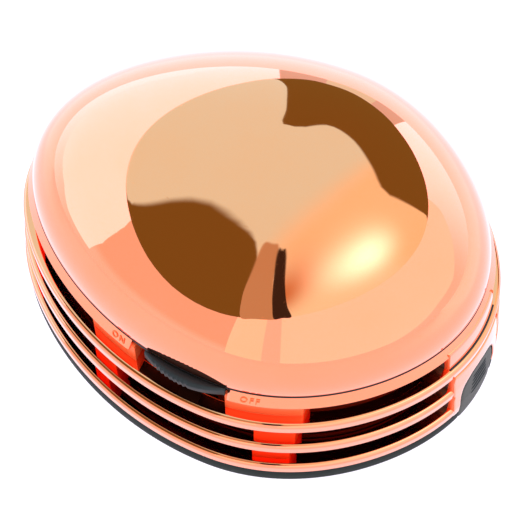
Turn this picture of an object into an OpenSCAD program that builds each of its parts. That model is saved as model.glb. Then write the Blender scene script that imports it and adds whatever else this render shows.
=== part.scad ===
// Mini desktop vacuum cleaner: mirror dome over a louvred wall, thumb slider, release tab and hinged base

/* [Body outline] */
// Overall length of the body
body_len = 120; // [116:1:126]
// Overall width of the body
body_wid = 96; // [92:1:100]
// Distance of the widest place in front of the middle
egg_shift = 6.8; // [4:0.2:9]
// Wall thickness of the shells
shell_t = 2; // [1.6:0.1:2.4]
// Rise of the dome above its seam
dome_rise = 27.6; // [26:0.2:32]

/* [Louvred wall] */
// Height of each rail
rail_h = 3.1; // [2.6:0.1:3.6]
// Height of each slot between the rails
slot_h = 6.2; // [5.8:0.1:7]
// Height of the sloping band under the dome
band_h = 2.1; // [1.8:0.1:2.6]
// How far each rail lies inside the rail below it
rail_setback = 0.9; // [0.4:0.1:1.2]
// How far the foot of the band lies inside the lowest rail
band_inset = 4.1; // [3.6:0.1:4.6]
// How far the seam lies inside the lowest rail
seam_inset = 5.3; // [5:0.1:5.8]
// How far the ribs stand back from the lowest rail
rib_inset = 4.6; // [4.2:0.1:5.2]
// How far the inner face of the wall lies inside the lowest rail
inner_inset = 9; // [8.6:0.1:9.4]
// Width of the ledge inside the band
ledge_w = 2; // [1.6:0.1:2.4]
// Distance of each rib's near side from the middle
rib_near = 17.5; // [16:0.5:19]
// Distance of each rib's far side from the middle
rib_far = 26.5; // [24:0.5:28]
// Distance of the switch pads' near side from the middle
pad_near = 10.5; // [9.5:0.5:12]
// Width of the rib at the rear end
rear_rib_w = 16; // [12:0.5:20]
// Half width of the closed front section
front_half_w = 9.8; // [9.4:0.2:12]
// Turn of the closed front and its tab about the middle of the body
front_turn = -5.6; // [-8:0.2:0]

/* [Base] */
// Height of the underside above the table
foot_h = 1.2; // [1:0.1:1.6]
// Height of the base cover
base_h = 4.8; // [4.4:0.1:5.4]
// How far the base cover lies inside the lowest rail
base_inset = 0.4; // [0.2:0.1:0.8]
// Height of the sloping edge under the base cover
edge_h = 1.4; // [1:0.1:1.8]
// Gap between parts that meet at a parting line
part_gap = 0.2; // [0.1:0.05:0.3]
// Height of the locating lip above the base's rim
lip_h = 3; // [2:0.1:3]
// Thickness of the locating lip
lip_t = 1.4; // [1.2:0.1:1.8]
// Clearance round the locating lip
lip_gap = 0.4; // [0.3:0.05:0.5]
// Diameter of the rubber feet
pad_d = 9; // [7:0.5:10]
// Depth of the seats of the rubber feet
pad_seat = 0.6; // [0.4:0.1:0.8]
// Distance of the inlet slot behind the front end
inlet_back = 22; // [21.6:0.2:23]
// Length of the inlet slot across the body
inlet_len = 31; // [26:0.5:31]
// Width of the inlet slot
inlet_wid = 9; // [8:0.2:9]
// Wall thickness of the inlet duct
duct_t = 1.4; // [1:0.1:1.6]
// Height of the inlet duct
duct_h = 8.2; // [7:0.1:8.6]
// Width of the wiper strips beside the inlet
strip_w = 2.6; // [2:0.1:3]

/* [Release tab] */
// Height of the release tab above the base's rim
tab_rise = 13.2; // [12:0.2:15]
// Half width of the release tab at its foot
tab_foot_w = 7.4; // [6.6:0.1:7.6]
// Thickness of the release tab
tab_t = 2; // [1.6:0.1:2.2]
// How far the tip of the tab moves when it is pressed
tab_press = 1.4; // [1:0.1:1.6]
// Diameter of the tab's pivots
pivot_d = 2.2; // [1.8:0.1:2.4]
// Length of each pivot
pivot_len = 2.8; // [2:0.1:3]

/* [Switch] */
// Length of the thumb slider
slider_len = 20; // [18:0.5:22]
// Height of the thumb slider
slider_h = 3; // [2.6:0.1:3.2]
// Thickness of the slider's plate
slider_t = 1.9; // [1.7:0.1:2.2]
// Travel of the slider
slider_travel = 3.6; // [3:0.2:4.4]
// Length of the thumb grip
grip_len = 9; // [7:0.5:10]
// How far the thumb grip stands out
grip_out = 1.9; // [1.4:0.1:2.2]
// Number of grip ridges
grip_count = 6; // [4:1:7]
// Place of the resting slider in front of the middle
slider_x = 1; // [0:0.1:2]
// Length of the switch behind the slider
switch_len = 15; // [14:0.5:17]

/* [Fan and motor] */
// Diameter of the impeller
fan_d = 44; // [40:0.5:46]
// Height of the impeller's blades
blade_h = 8; // [7:0.1:8.6]
// Number of blades
blade_count = 9; // [6:1:12]
// Thickness of a blade
blade_t = 1.1; // [0.9:0.1:1.4]
// Diameter of the impeller's hub
hub_d = 9; // [8:0.5:12]
// Diameter of the motor
motor_d = 24; // [22:0.2:24.4]
// Length of the motor
motor_len = 24; // [20:0.5:25]
// Diameter of the motor's shaft
shaft_d = 2; // [1.8:0.1:2.3]
// Diameter of the filter
filter_d = 57; // [54:0.5:59]
// Height of the filter's frame
filter_h = 4.6; // [4:0.1:4.8]
// Thickness of the decks
deck_t = 2; // [1.8:0.1:2.2]

/* [Batteries] */
// Diameter of a cell
cell_d = 14.5; // [14:0.1:14.6]
// Length of a cell with its nub
cell_len = 50.5; // [49:0.1:50.6]
// Distance of the cells behind the widest part of the wall
cell_back = 27; // [26.6:0.1:27.4]
// Length of the spring at the flat end of a cell
spring_len = 3.6; // [3:0.1:4]

/* [Hidden] */
$fn = 72;
// overrun of every cutting shape
cut = 1;
// clearances of loose, running and sliding pieces
loose_gap = 0.3;
run_gap = 0.05;
slide_gap = 0.4;

// levels of the body
half_len = body_len / 2;
half_wid = body_wid / 2;
cell_y = half_wid - cell_back;
pitch = rail_h + slot_h;
rail_count = 3;
z_floor = foot_h + shell_t;
z_rim = foot_h + base_h;
z_house = z_rim + part_gap;
z_band = z_house + rail_count * pitch;
z_seam = z_band + band_h;
inlet_x = half_len - inlet_back;
function rail_z(k) = z_house + k * pitch;
z_tier = rail_z(rail_count - 1);
tier_inset = (rail_count - 1) * rail_setback;
brow_inset = tier_inset + (band_inset - tier_inset) / 2;

// half of an oval drum whose side is the outline p in radius and height
module oval_half(reach, side, turn) {
    scale([reach / side, 1, 1]) rotate([0, 0, turn]) rotate_extrude(angle = 180) children();
}

// oval drum that lies inside the lowest rail by inset at its foot and by top_inset at its head
module oval(inset, h, top_inset) {
    side = half_wid - inset;
    head = top_inset == undef ? side : half_wid - top_inset;
    translate([egg_shift, 0, 0]) {
        oval_half(half_len - inset - egg_shift, side, -90)
            polygon([[0, 0], [side, 0], [head, h], [0, h]]);
        oval_half(half_len - inset + egg_shift, side, 90)
            polygon([[0, 0], [side, 0], [head, h], [0, h]]);
    }
}

// the same drum carried on past both of its ends, for cutting
module oval_past(inset, h, top_inset) {
    slope = (top_inset - inset) / h * cut;
    translate([0, 0, -cut]) oval(inset - slope, h + 2 * cut, top_inset + slope);
}

module oval_ring(outer, inner, h) {
    difference() {
        oval(outer, h);
        translate([0, 0, -cut]) oval(inner, h + 2 * cut);
    }
}

// whole ellipsoid whose front or rear half, by side, forms the dome
module oval_ball(inset, rise, side) {
    reach = half_len - inset - side * egg_shift;
    wide = half_wid - inset;
    translate([egg_shift, 0, z_seam]) scale([reach / wide, 1, rise / wide]) sphere(r = wide);
}

// dome over the seam, carried on by below under the seam
module oval_dome(inset, rise, below) {
    wide = half_wid - inset;
    translate([egg_shift, 0, z_seam]) for (side = [-1, 1])
        scale([(half_len - inset - side * egg_shift) / wide, 1, rise / wide]) rotate([0, 0, -90 * side])
            rotate_extrude(angle = 180) {
                intersection() {
                    circle(r = wide);
                    square(wide);
                }
                if (below > 0) translate([0, -below]) square([wide, below]);
            }
}

// extrudes a front view of width and height along the length of the body
module along_x(from, to) {
    translate([from, 0, 0]) rotate([90, 0, 90]) linear_extrude(height = to - from) children();
}

// turns the closed front and the tab to their place
module at_front() {
    rotate([0, 0, front_turn]) children();
}

// release tab, as shares of its foot width and of its rise
tab_width_shares = [1, 0.99, 0.95, 0.87, 0.74, 0.56, 0.36, 0.14];
tab_height_shares = [0, 0.35, 0.56, 0.72, 0.84, 0.93, 0.98, 1];
tab_foot_z = foot_h + pad_seat / 2;
module tab_outline(gap) {
    n = len(tab_width_shares);
    right = [for (i = [0:n - 1])
        [tab_foot_w * tab_width_shares[i] + gap, z_rim + tab_rise * tab_height_shares[i] + gap]];
    left = [for (i = [n - 1:-1:0]) [-right[i][0], right[i][1]]];
    polygon(concat([[tab_foot_w + gap, tab_foot_z - (gap > 0 ? cut : 0)]], right, left,
        [[-tab_foot_w - gap, tab_foot_z - (gap > 0 ? cut : 0)]]));
}
tab_top = z_rim + tab_rise;
tab_head_inset = tier_inset * (tab_top - z_house) / (z_tier - z_house);
tab_depth = tab_t + tab_press + slide_gap;
pivot_x = half_len - base_inset - tab_t - pivot_d - tab_t;
pivot_z = z_floor + pivot_d / 4;
notch_back = pivot_x - pivot_d;
cheek_t = pivot_len + slide_gap + lip_t;

module release_tab() {
    color("dimgray") union() {
        intersection() {
            translate([0, 0, tab_foot_z]) difference() {
                oval(0, tab_top - tab_foot_z, tab_head_inset);
                oval_past(tab_t, tab_top - tab_foot_z, tab_head_inset + tab_t);
            }
            at_front() along_x(half_len / 2, half_len + cut) tab_outline(0);
        }
        intersection() {
            at_front() translate([pivot_x - pivot_d / 2, -tab_foot_w, pivot_z - pivot_d / 2])
                cube([half_len - pivot_x, 2 * tab_foot_w, pivot_d]);
            oval(base_inset + tab_t / 2, z_rim);
        }
        at_front() translate([pivot_x, tab_foot_w + pivot_len + slide_gap, pivot_z]) rotate([90, 0, 0])
            cylinder(d = pivot_d, h = 2 * (tab_foot_w + pivot_len + slide_gap));
    }
}

// base cover
lip_inset = inner_inset + lip_gap;
foot_place_shares = [[0.5, 0.52], [0.5, -0.52], [-0.6, 0.36], [-0.6, -0.36]];
function foot_place(i) = [half_len * foot_place_shares[i][0], half_wid * foot_place_shares[i][1], 0];
duct_x = inlet_wid + 2 * duct_t;
duct_y = inlet_len + 2 * duct_t;
strip_off = (inlet_wid + strip_w) / 2 + loose_gap;

module base_cover() {
    color("slategray") difference() {
        union() {
            difference() {
                union() {
                    translate([0, 0, foot_h]) oval(base_inset + edge_h, edge_h, base_inset + run_gap);
                    translate([0, 0, foot_h + edge_h]) oval(base_inset, base_h - edge_h);
                }
                translate([0, 0, z_floor]) oval(base_inset + shell_t, base_h);
            }
            translate([0, 0, z_floor - shell_t / 2])
                oval_ring(lip_inset, lip_inset + lip_t, base_h + lip_h - shell_t / 2);
            intersection() {
                at_front() for (s = [-1, 1])
                    translate([notch_back - lip_t, s * (tab_foot_w + slide_gap + cheek_t / 2) - cheek_t / 2,
                        z_floor - shell_t / 2])
                        cube([half_len, cheek_t, base_h - shell_t / 2]);
                oval(base_inset + shell_t / 2, z_rim);
            }
        }
        at_front() {
            translate([notch_back, -tab_foot_w - slide_gap, 0])
                cube([half_len, 2 * (tab_foot_w + slide_gap), z_rim + lip_h + cut]);
            translate([pivot_x, tab_foot_w + pivot_len + 2 * slide_gap, pivot_z]) rotate([90, 0, 0])
                cylinder(d = pivot_d + 2 * run_gap, h = 2 * (tab_foot_w + pivot_len + 2 * slide_gap));
        }
        translate([inlet_x - inlet_wid / 2, -inlet_len / 2, 0]) cube([inlet_wid, inlet_len, base_h]);
        for (i = [0:3]) translate(foot_place(i)) cylinder(d = pad_d + run_gap, h = foot_h + pad_seat);
        for (s = [-1, 1]) translate([inlet_x + s * strip_off - strip_w / 2, -inlet_len / 2, 0])
            cube([strip_w, inlet_len, foot_h + pad_seat]);
    }
}

module foot(i) {
    color("black") translate(foot_place(i)) cylinder(d = pad_d, h = foot_h + pad_seat);
}

module wiper_strip(s) {
    color("dimgray") translate([inlet_x + s * strip_off - strip_w / 2, -inlet_len / 2, foot_h * 0.3])
        cube([strip_w, inlet_len, foot_h * 0.7 + pad_seat]);
}

// inlet duct with the ears of its flap
flap_t = 1;
flap_pin_d = 1.6;
flap_ear_t = 1.4;
flap_ear_r = 1.6;
flap_x = inlet_x + duct_x / 2 - flap_ear_r;
flap_z = z_floor + duct_h + loose_gap + flap_pin_d / 2;
flap_half = duct_y / 2 - flap_ear_t - loose_gap;

module inlet_duct() {
    color("gray") difference() {
        union() {
            translate([inlet_x - duct_x / 2, -duct_y / 2, z_floor]) cube([duct_x, duct_y, duct_h]);
            for (s = [-1, 1]) flap_ear(s);
        }
        translate([inlet_x - inlet_wid / 2, -inlet_len / 2, z_floor - cut])
            cube([inlet_wid, inlet_len, duct_h + 2 * cut]);
        translate([flap_x, duct_y / 2 + cut, flap_z]) rotate([90, 0, 0])
            cylinder(d = flap_pin_d + 2 * run_gap, h = duct_y + 2 * cut);
    }
}

module flap_ear(s) {
    translate([flap_x, s * (duct_y - flap_ear_t) / 2, flap_z]) rotate([90, 0, 0])
        cylinder(r = flap_ear_r, h = flap_ear_t, center = true);
    translate([flap_x - flap_ear_r, s * (duct_y - flap_ear_t) / 2 - flap_ear_t / 2, z_floor + duct_h - cut])
        cube([2 * flap_ear_r, flap_ear_t, flap_z - z_floor - duct_h + cut]);
}

module inlet_flap() {
    color("darkslategray") union() {
        translate([flap_x, duct_y / 2 - loose_gap, flap_z]) rotate([90, 0, 0])
            cylinder(d = flap_pin_d, h = duct_y - 2 * loose_gap);
        translate([inlet_x - duct_x / 2, -flap_half, flap_z - flap_pin_d / 2])
            cube([flap_x - inlet_x + duct_x / 2, 2 * flap_half, flap_t]);
    }
}

// thumb slider that rides on the outside of the band
slider_y = -(half_wid - band_inset + loose_gap);
slider_z = z_band - (slider_h - band_h) / 2;
foot_len = 5;
foot_t = 1.1;
foot_z = z_band - loose_gap;
window_len = foot_len + 2 * slide_gap + slider_travel;
pocket_inset = (seam_inset + inner_inset + ledge_w) / 2;
switch_y = -(half_wid - inner_inset - loose_gap);
switch_t = 4.6;
switch_h = 5;
lever_w = 2;
lever_len = 2.4;
foot_in = switch_y + loose_gap;
switch_mid = slider_x - slider_travel / 2;

module switch_slider() {
    ridge = grip_len / grip_count;
    color("dimgray") union() {
        intersection() {
            translate([slider_x - slider_len / 2, slider_y - slider_t - grip_out, slider_z])
                cube([slider_len, slider_t + grip_out, slider_h]);
            translate([slider_x - egg_shift, 0, slider_z - cut])
                oval(band_inset - loose_gap - slider_t, slider_h + 2 * cut);
        }
        translate([slider_x - grip_len * 0.6, slider_y - slider_t - grip_out + ridge, slider_z])
            cube([grip_len, grip_out + slider_t / 2 - ridge, slider_h]);
        for (i = [0:grip_count - 1])
            translate([slider_x - grip_len * 0.6 + (i + 0.5) * ridge, slider_y - slider_t - grip_out + ridge,
                slider_z])
                cylinder(d = ridge, h = slider_h, $fn = 24);
        translate([slider_x - foot_len / 2, slider_y - slider_t / 2, foot_z])
            cube([foot_len, foot_in - slider_y + slider_t / 2, foot_t]);
    }
}

module switch_lever() {
    color("black") translate([slider_x - lever_w / 2, foot_in, foot_z])
        cube([lever_w, lever_len, foot_t]);
}

module switch_body() {
    slot_w = lever_w + slider_travel + 2 * loose_gap;
    color("black") difference() {
        translate([switch_mid - switch_len / 2, foot_in + loose_gap, foot_z + foot_t / 2 - switch_h / 2])
            cube([switch_len, switch_t, switch_h]);
        translate([slider_x - slider_travel - lever_w / 2 - loose_gap, foot_in, foot_z - loose_gap])
            cube([slot_w, lever_len + loose_gap, foot_t + 2 * loose_gap]);
    }
}

// bracket that holds the switch on the motor deck
bracket_t = 1.2;
switch_back = foot_in + loose_gap + switch_t;
module switch_bracket() {
    w = switch_len * 0.8;
    x0 = switch_mid - w / 2;
    color("silver") union() {
        translate([x0, switch_back, z_band]) cube([w, bracket_t, switch_h / 2]);
        translate([x0, switch_back, z_band]) cube([w, switch_t * 0.7, bracket_t]);
    }
}

// cutting block of a rib on side s, from the foot z upward
module rib(s, near, z) {
    translate([s * (near + rib_far) / 2 - (rib_far - near) / 2, -half_wid, z])
        cube([rib_far - near, body_wid, z_seam]);
}

// outline of the closed front, from the foot of the wall to the band
module front_prism() {
    at_front() translate([half_len / 2, -front_half_w, 0]) cube([half_len, 2 * front_half_w, z_seam]);
}

// room for the slider, its foot and the switch
module slider_room() {
    translate([slider_x - slider_len / 2 - slider_travel - loose_gap, -half_wid, z_band - cut])
        cube([slider_len + slider_travel + 2 * loose_gap, pocket_inset, band_h + 2 * cut]);
    translate([switch_mid - window_len / 2, -half_wid, z_band - cut])
        cube([window_len, inner_inset + ledge_w + cut, foot_z - z_band + foot_t + slide_gap + cut]);
    translate([switch_mid - switch_len / 2 - loose_gap, foot_in, z_band - cut])
        cube([switch_len + 2 * loose_gap, half_wid / 2, band_h + 2 * cut]);
}

// rails of the louvred wall: the two lower ones end at the closed front
module rail(k) {
    translate([0, 0, rail_z(k)]) oval_ring(k * rail_setback, inner_inset, rail_h);
}

module rail_low() {
    color("lightsalmon") difference() {
        rail(0);
        front_prism();
    }
}

module rail_mid() {
    color("lightsalmon") difference() {
        rail(1);
        front_prism();
    }
}

module rail_top() {
    color("lightsalmon") rail(rail_count - 1);
}

// sloping band over the rails, with the ledge that carries the deck
module slope_band() {
    color("lightsalmon") difference() {
        translate([0, 0, z_band]) oval(band_inset, band_h, seam_inset);
        translate([0, 0, z_band]) oval_past(inner_inset + ledge_w, band_h, inner_inset + ledge_w);
        slider_room();
    }
}

// ribs between the rails
module wall_ribs() {
    color("tomato") difference() {
        for (k = [0:rail_count - 1]) intersection() {
            translate([0, 0, rail_z(k) + rail_h]) oval_ring(rib_inset, inner_inset, slot_h);
            union() {
                for (s = [-1, 1]) rib(s, k < rail_count - 1 ? rib_near : pad_near, 0);
                translate([-half_len, -rear_rib_w / 2, 0]) cube([half_len / 2, rear_rib_w, z_seam]);
            }
        }
        slider_room();
    }
}

// closed front: the two cheeks beside the tab, the wall behind it and the brow over the top rail
module front_panel() {
    color("lightsalmon") difference() {
        intersection() {
            translate([0, 0, z_house]) oval(0, z_tier - z_house, tier_inset);
            front_prism();
        }
        translate([0, 0, z_house]) oval_past(tab_depth, z_tier - z_house, tier_inset + tab_depth);
        at_front() along_x(half_len / 2, half_len + 2 * cut) tab_outline(slide_gap);
    }
}

module front_wall() {
    outer = tab_depth + part_gap;
    color("salmon") difference() {
        intersection() {
            translate([0, 0, z_house]) oval(outer, z_tier - z_house, tier_inset + outer);
            front_prism();
        }
        translate([0, 0, z_house]) oval_past(inner_inset, z_tier - z_house, inner_inset);
    }
}

module front_brow() {
    foot = z_tier + rail_h;
    color("lightsalmon") difference() {
        intersection() {
            translate([0, 0, foot]) oval(brow_inset, z_band - foot, band_inset);
            front_prism();
        }
        translate([0, 0, foot]) oval_past(inner_inset, z_band - foot, inner_inset);
    }
}

// dome with four screw bosses
boss_d = 6;
boss_bore = 1.8;
boss_depth = 9;
boss_front_x = half_len - inner_inset - ledge_w - boss_d * 1.6;
boss_rear_x = -half_len * 0.62;
boss_front_y = half_wid * 0.3;
boss_rear_y = half_wid * 0.3;
boss_spots = [[boss_front_x, boss_front_y], [boss_front_x, -boss_front_y],
    [boss_rear_x, boss_rear_y], [boss_rear_x, -boss_rear_y]];

module dome_cover() {
    color("peru") difference() {
        union() {
            difference() {
                oval_dome(seam_inset, dome_rise, 0);
                oval_dome(seam_inset + shell_t, dome_rise - shell_t, cut);
            }
            for (p = boss_spots) intersection() {
                translate([p[0], p[1], z_band]) cylinder(d = boss_d, h = band_h + dome_rise);
                oval_ball(seam_inset + shell_t / 2, dome_rise - shell_t / 2, p[0] > egg_shift ? 1 : -1);
            }
        }
        for (p = boss_spots) translate([p[0], p[1], z_band - cut])
            cylinder(d = boss_bore, h = boss_depth + cut);
    }
}

// motor deck under the band, with the cradle of the motor and three pillars
tray_t = 1.2;
deck_inset = inner_inset + loose_gap;
z_deck = z_band - deck_t;
screw_d = 2.2;
head_d = 4.2;
head_h = 1.6;
cradle_t = 2;
cradle_h = 8;
cradle_side = cell_y - cell_d / 2 - tray_t - loose_gap;
pillar_d = 5.4;
collar_t = 1.8;
collar_h = 4;
pillar_r = filter_d / 2 + run_gap + collar_t + head_d / 2 + loose_gap;
pillar_turns = [60, 180, 300];
pillar_depth = 8;
nose_d = 6;
nose_h = 1;
z_motor = z_deck + deck_t / 2;
plate_z = rail_z(1) + rail_h;

module motor_deck() {
    color("dimgray") difference() {
        union() {
            translate([0, 0, z_deck]) oval(deck_inset, deck_t);
            intersection() {
                translate([0, 0, z_band - cut])
                    cylinder(d = motor_d + 2 * (run_gap + cradle_t), h = cradle_h + cut);
                translate([-motor_d, -cradle_side, z_deck])
                    cube([2 * motor_d, 2 * cradle_side, cradle_h + deck_t + cut]);
            }
            for (a = pillar_turns) rotate([0, 0, a]) translate([pillar_r, 0, plate_z + deck_t])
                cylinder(d = pillar_d, h = z_deck - plate_z - deck_t / 2);
        }
        translate([0, 0, z_motor]) cylinder(d = motor_d + 2 * run_gap, h = cradle_h + deck_t + cut);
        translate([0, 0, z_deck - cut]) cylinder(d = nose_d + 2 * loose_gap, h = deck_t + cut);
        for (p = boss_spots) translate([p[0], p[1], z_deck - cut])
            cylinder(d = screw_d + loose_gap, h = deck_t + 2 * cut);
        for (a = pillar_turns) rotate([0, 0, a]) translate([pillar_r, 0, plate_z])
            cylinder(d = boss_bore, h = pillar_depth + deck_t);
        translate([switch_mid - switch_len / 2 - loose_gap, -half_wid, z_deck - cut])
            cube([switch_len + 2 * loose_gap, half_wid + switch_back, deck_t + 2 * cut]);
    }
}

module deck_screws() {
    color("silver") for (p = boss_spots) {
        translate([p[0], p[1], z_deck - head_h]) cylinder(d = head_d, h = head_h);
        translate([p[0], p[1], z_deck - head_h / 2])
            cylinder(d = boss_bore, h = head_h / 2 + deck_t + boss_depth * 0.8);
    }
}

// fan plate on the inner ledge, with the collar of the filter
eye_d = fan_d * 0.62;
module fan_plate() {
    color("gray") difference() {
        union() {
            translate([0, 0, plate_z]) oval(deck_inset, deck_t);
            translate([0, 0, plate_z - collar_h])
                cylinder(d = filter_d + 2 * (run_gap + collar_t), h = collar_h + cut);
        }
        translate([0, 0, plate_z - collar_h - cut]) cylinder(d = filter_d + 2 * run_gap, h = collar_h + cut);
        cylinder(d = eye_d, h = z_band);
        for (a = pillar_turns) rotate([0, 0, a]) translate([pillar_r, 0, plate_z - cut])
            cylinder(d = screw_d, h = deck_t + 2 * cut);
    }
}

module plate_screws() {
    color("silver") for (a = pillar_turns) rotate([0, 0, a]) {
        translate([pillar_r, 0, plate_z - head_h]) cylinder(d = head_d, h = head_h);
        translate([pillar_r, 0, plate_z - head_h / 2])
            cylinder(d = boss_bore, h = head_h / 2 + deck_t + pillar_depth * 0.8);
    }
}

// filter
frame_t = 2.4;
bar_w = 3;
bar_h = 1.4;
module filter_frame() {
    color("white") difference() {
        translate([0, 0, plate_z - filter_h]) cylinder(d = filter_d, h = filter_h);
        difference() {
            translate([0, 0, plate_z - filter_h - cut])
                cylinder(d = filter_d - 2 * frame_t, h = filter_h + 2 * cut);
            for (a = [0, 90]) rotate([0, 0, a])
                translate([-filter_d / 2, -bar_w / 2, plate_z - filter_h]) cube([filter_d, bar_w, bar_h]);
        }
    }
}

module filter_pad() {
    color("ivory") translate([0, 0, plate_z - filter_h + bar_h])
        cylinder(d = filter_d - 2 * frame_t - 2 * run_gap, h = filter_h - bar_h);
}

// soft seal between the base's lip and the wall
seal_h = 1;
module dust_seal() {
    color("black") translate([0, 0, z_rim + lip_h]) oval_ring(lip_inset, lip_inset + lip_t, seal_h);
}

// motor and rotor
shaft_in = 9;
shaft_drop = blade_h + 2 * blade_t;
module motor_can() {
    color("silver") difference() {
        union() {
            translate([0, 0, z_motor]) cylinder(d = motor_d, h = motor_len);
            translate([0, 0, z_motor - nose_h]) cylinder(d = nose_d, h = nose_h + cut);
        }
        translate([0, 0, z_motor - nose_h - cut])
            cylinder(d = shaft_d + 2 * run_gap, h = nose_h + shaft_in + cut);
    }
}

end_cap_h = 2;
module motor_end_cap() {
    color("black") translate([0, 0, z_motor + motor_len]) union() {
        cylinder(d = motor_d * 0.8, h = end_cap_h);
        for (s = [-1, 1]) translate([-lever_w / 2, s * motor_d * 0.28 - bracket_t / 2, end_cap_h / 2])
            cube([lever_w, bracket_t, end_cap_h]);
    }
}

module motor_shaft() {
    color("silver") translate([0, 0, z_motor - nose_h - shaft_drop])
        cylinder(d = shaft_d, h = shaft_drop + nose_h + shaft_in - loose_gap);
}

z_fan_top = z_motor - nose_h - loose_gap;
blade_turn = 24;
module impeller() {
    color("whitesmoke") difference() {
        union() {
            translate([0, 0, z_fan_top - blade_t]) cylinder(d = fan_d, h = blade_t);
            translate([0, 0, z_fan_top - blade_t - blade_h]) cylinder(d = hub_d, h = blade_h + blade_t);
            for (i = [0:blade_count - 1]) rotate([0, 0, 360 * i / blade_count])
                translate([hub_d * 0.3, 0, z_fan_top - blade_t - blade_h + loose_gap])
                    rotate([0, 0, blade_turn]) translate([0, -blade_t / 2, 0])
                        cube([fan_d * 0.4, blade_t, blade_h - loose_gap + blade_t / 2]);
        }
        translate([0, 0, z_fan_top - blade_t - blade_h - cut])
            cylinder(d = shaft_d, h = blade_h + blade_t + 2 * cut);
    }
}

// batteries and their contacts
plate_t = 0.6;
bay_len = cell_len + spring_len + 2 * plate_t + loose_gap;
bay_x = egg_shift * 0.39 - bay_len / 2;
cell_z = z_band + tray_t + cell_d / 2;
nub_d = 5.5;
nub_len = 1.2;
plate_w = cell_d * 0.8;
module battery_tray() {
    color("gray") difference() {
        for (s = [-1, 1]) translate([bay_x - tray_t, s * cell_y - cell_d / 2 - tray_t, z_band])
            cube([bay_len + 2 * tray_t, cell_d + 2 * tray_t, tray_t + cell_d * 0.45]);
        for (s = [-1, 1]) {
            translate([bay_x, s * cell_y, cell_z]) rotate([0, 90, 0])
                cylinder(d = cell_d + 2 * run_gap, h = bay_len);
            for (x = [bay_x, bay_x + bay_len - plate_t])
                translate([x, s * cell_y - plate_w / 2, z_band + tray_t]) cube([plate_t, plate_w, cell_d]);
        }
    }
}

// the cell with its nub toward the front or toward the rear
module cell(s) {
    flat_x = s > 0 ? bay_x + plate_t + spring_len : bay_x + bay_len - plate_t - spring_len;
    color("forestgreen") translate([flat_x, s * cell_y, cell_z]) rotate([0, s * 90, 0]) union() {
        cylinder(d = cell_d - 2 * run_gap, h = cell_len - nub_len);
        cylinder(d = nub_d, h = cell_len);
    }
}

module contact(x, s) {
    color("silver") translate([x, s * cell_y - plate_w / 2, z_band + tray_t])
        cube([plate_t, plate_w, plate_w]);
}

module contact_spring(s) {
    x = s > 0 ? bay_x + plate_t : bay_x + bay_len - plate_t;
    color("silver") translate([x, s * cell_y, cell_z]) rotate([0, s * 90, 0])
        cylinder(d1 = cell_d * 0.6, d2 = nub_d, h = spring_len);
}

base_cover();
inlet_duct();
wiper_strip(1);  // wiper_strip_front
wiper_strip(-1);  // wiper_strip_rear
foot(0);  // foot_front_left
foot(1);  // foot_front_right
foot(2);  // foot_rear_left
foot(3);  // foot_rear_right
inlet_flap();
release_tab();
rail_low();
rail_mid();
rail_top();
slope_band();
wall_ribs();
front_panel();
front_wall();
front_brow();
dome_cover();
motor_deck();
fan_plate();
filter_frame();
filter_pad();
dust_seal();
motor_can();
motor_end_cap();
motor_shaft();
impeller();
battery_tray();
cell(1);  // battery_left
cell(-1);  // battery_right
contact(bay_x + bay_len - plate_t, 1);  // contact_front_left
contact(bay_x + bay_len - plate_t, -1);  // contact_front_right
contact(bay_x, 1);  // contact_rear_left
contact(bay_x, -1);  // contact_rear_right
contact_spring(1);  // contact_spring_left
contact_spring(-1);  // contact_spring_right
switch_slider();
switch_lever();
switch_body();
switch_bracket();
deck_screws();
plate_screws();
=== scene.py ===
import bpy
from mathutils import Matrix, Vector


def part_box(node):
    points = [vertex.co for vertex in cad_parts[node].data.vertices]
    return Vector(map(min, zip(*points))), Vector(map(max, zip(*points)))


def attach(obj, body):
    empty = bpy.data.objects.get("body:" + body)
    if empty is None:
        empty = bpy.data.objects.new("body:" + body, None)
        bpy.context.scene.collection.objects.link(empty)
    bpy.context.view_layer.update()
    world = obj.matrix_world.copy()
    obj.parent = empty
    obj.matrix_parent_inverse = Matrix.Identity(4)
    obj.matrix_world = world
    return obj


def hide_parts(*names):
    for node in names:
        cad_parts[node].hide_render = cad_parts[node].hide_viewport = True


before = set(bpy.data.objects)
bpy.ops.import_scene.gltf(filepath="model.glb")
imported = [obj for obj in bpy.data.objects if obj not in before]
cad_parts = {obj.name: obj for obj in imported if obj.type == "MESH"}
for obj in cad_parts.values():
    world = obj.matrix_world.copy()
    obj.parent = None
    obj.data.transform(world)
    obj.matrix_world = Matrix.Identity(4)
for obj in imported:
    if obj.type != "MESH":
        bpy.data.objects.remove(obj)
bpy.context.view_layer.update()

import math

import bmesh
import bpy
import numpy as np
from mathutils import Matrix, Vector

bl_info = {
    "name": "Desktop Mini Vacuum",
    "version": (1, 0, 0),
    "blender": (4, 5, 0),
    "location": "View3D > Sidebar > Vacuum",
    "description": "Builds the mirror-plated oval desktop vacuum around its CAD frame",
    "category": "Object",
}

MM = 0.001
TURN = 2 * math.pi
SIDES = (-1, 1)
TIERS = 3
FEET = ("foot_front_left", "foot_front_right", "foot_rear_left", "foot_rear_right")
STRIPS = ("wiper_strip_front", "wiper_strip_rear")


# Sizes and colours

def length(name, description, default):
    return bpy.props.FloatProperty(
        name=name, description=description, default=default, unit="LENGTH", precision=5)


def colour(name, description, default):
    return bpy.props.FloatVectorProperty(
        name=name, description=description, default=default, subtype="COLOR", size=3, min=0.0, max=1.0)


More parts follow.
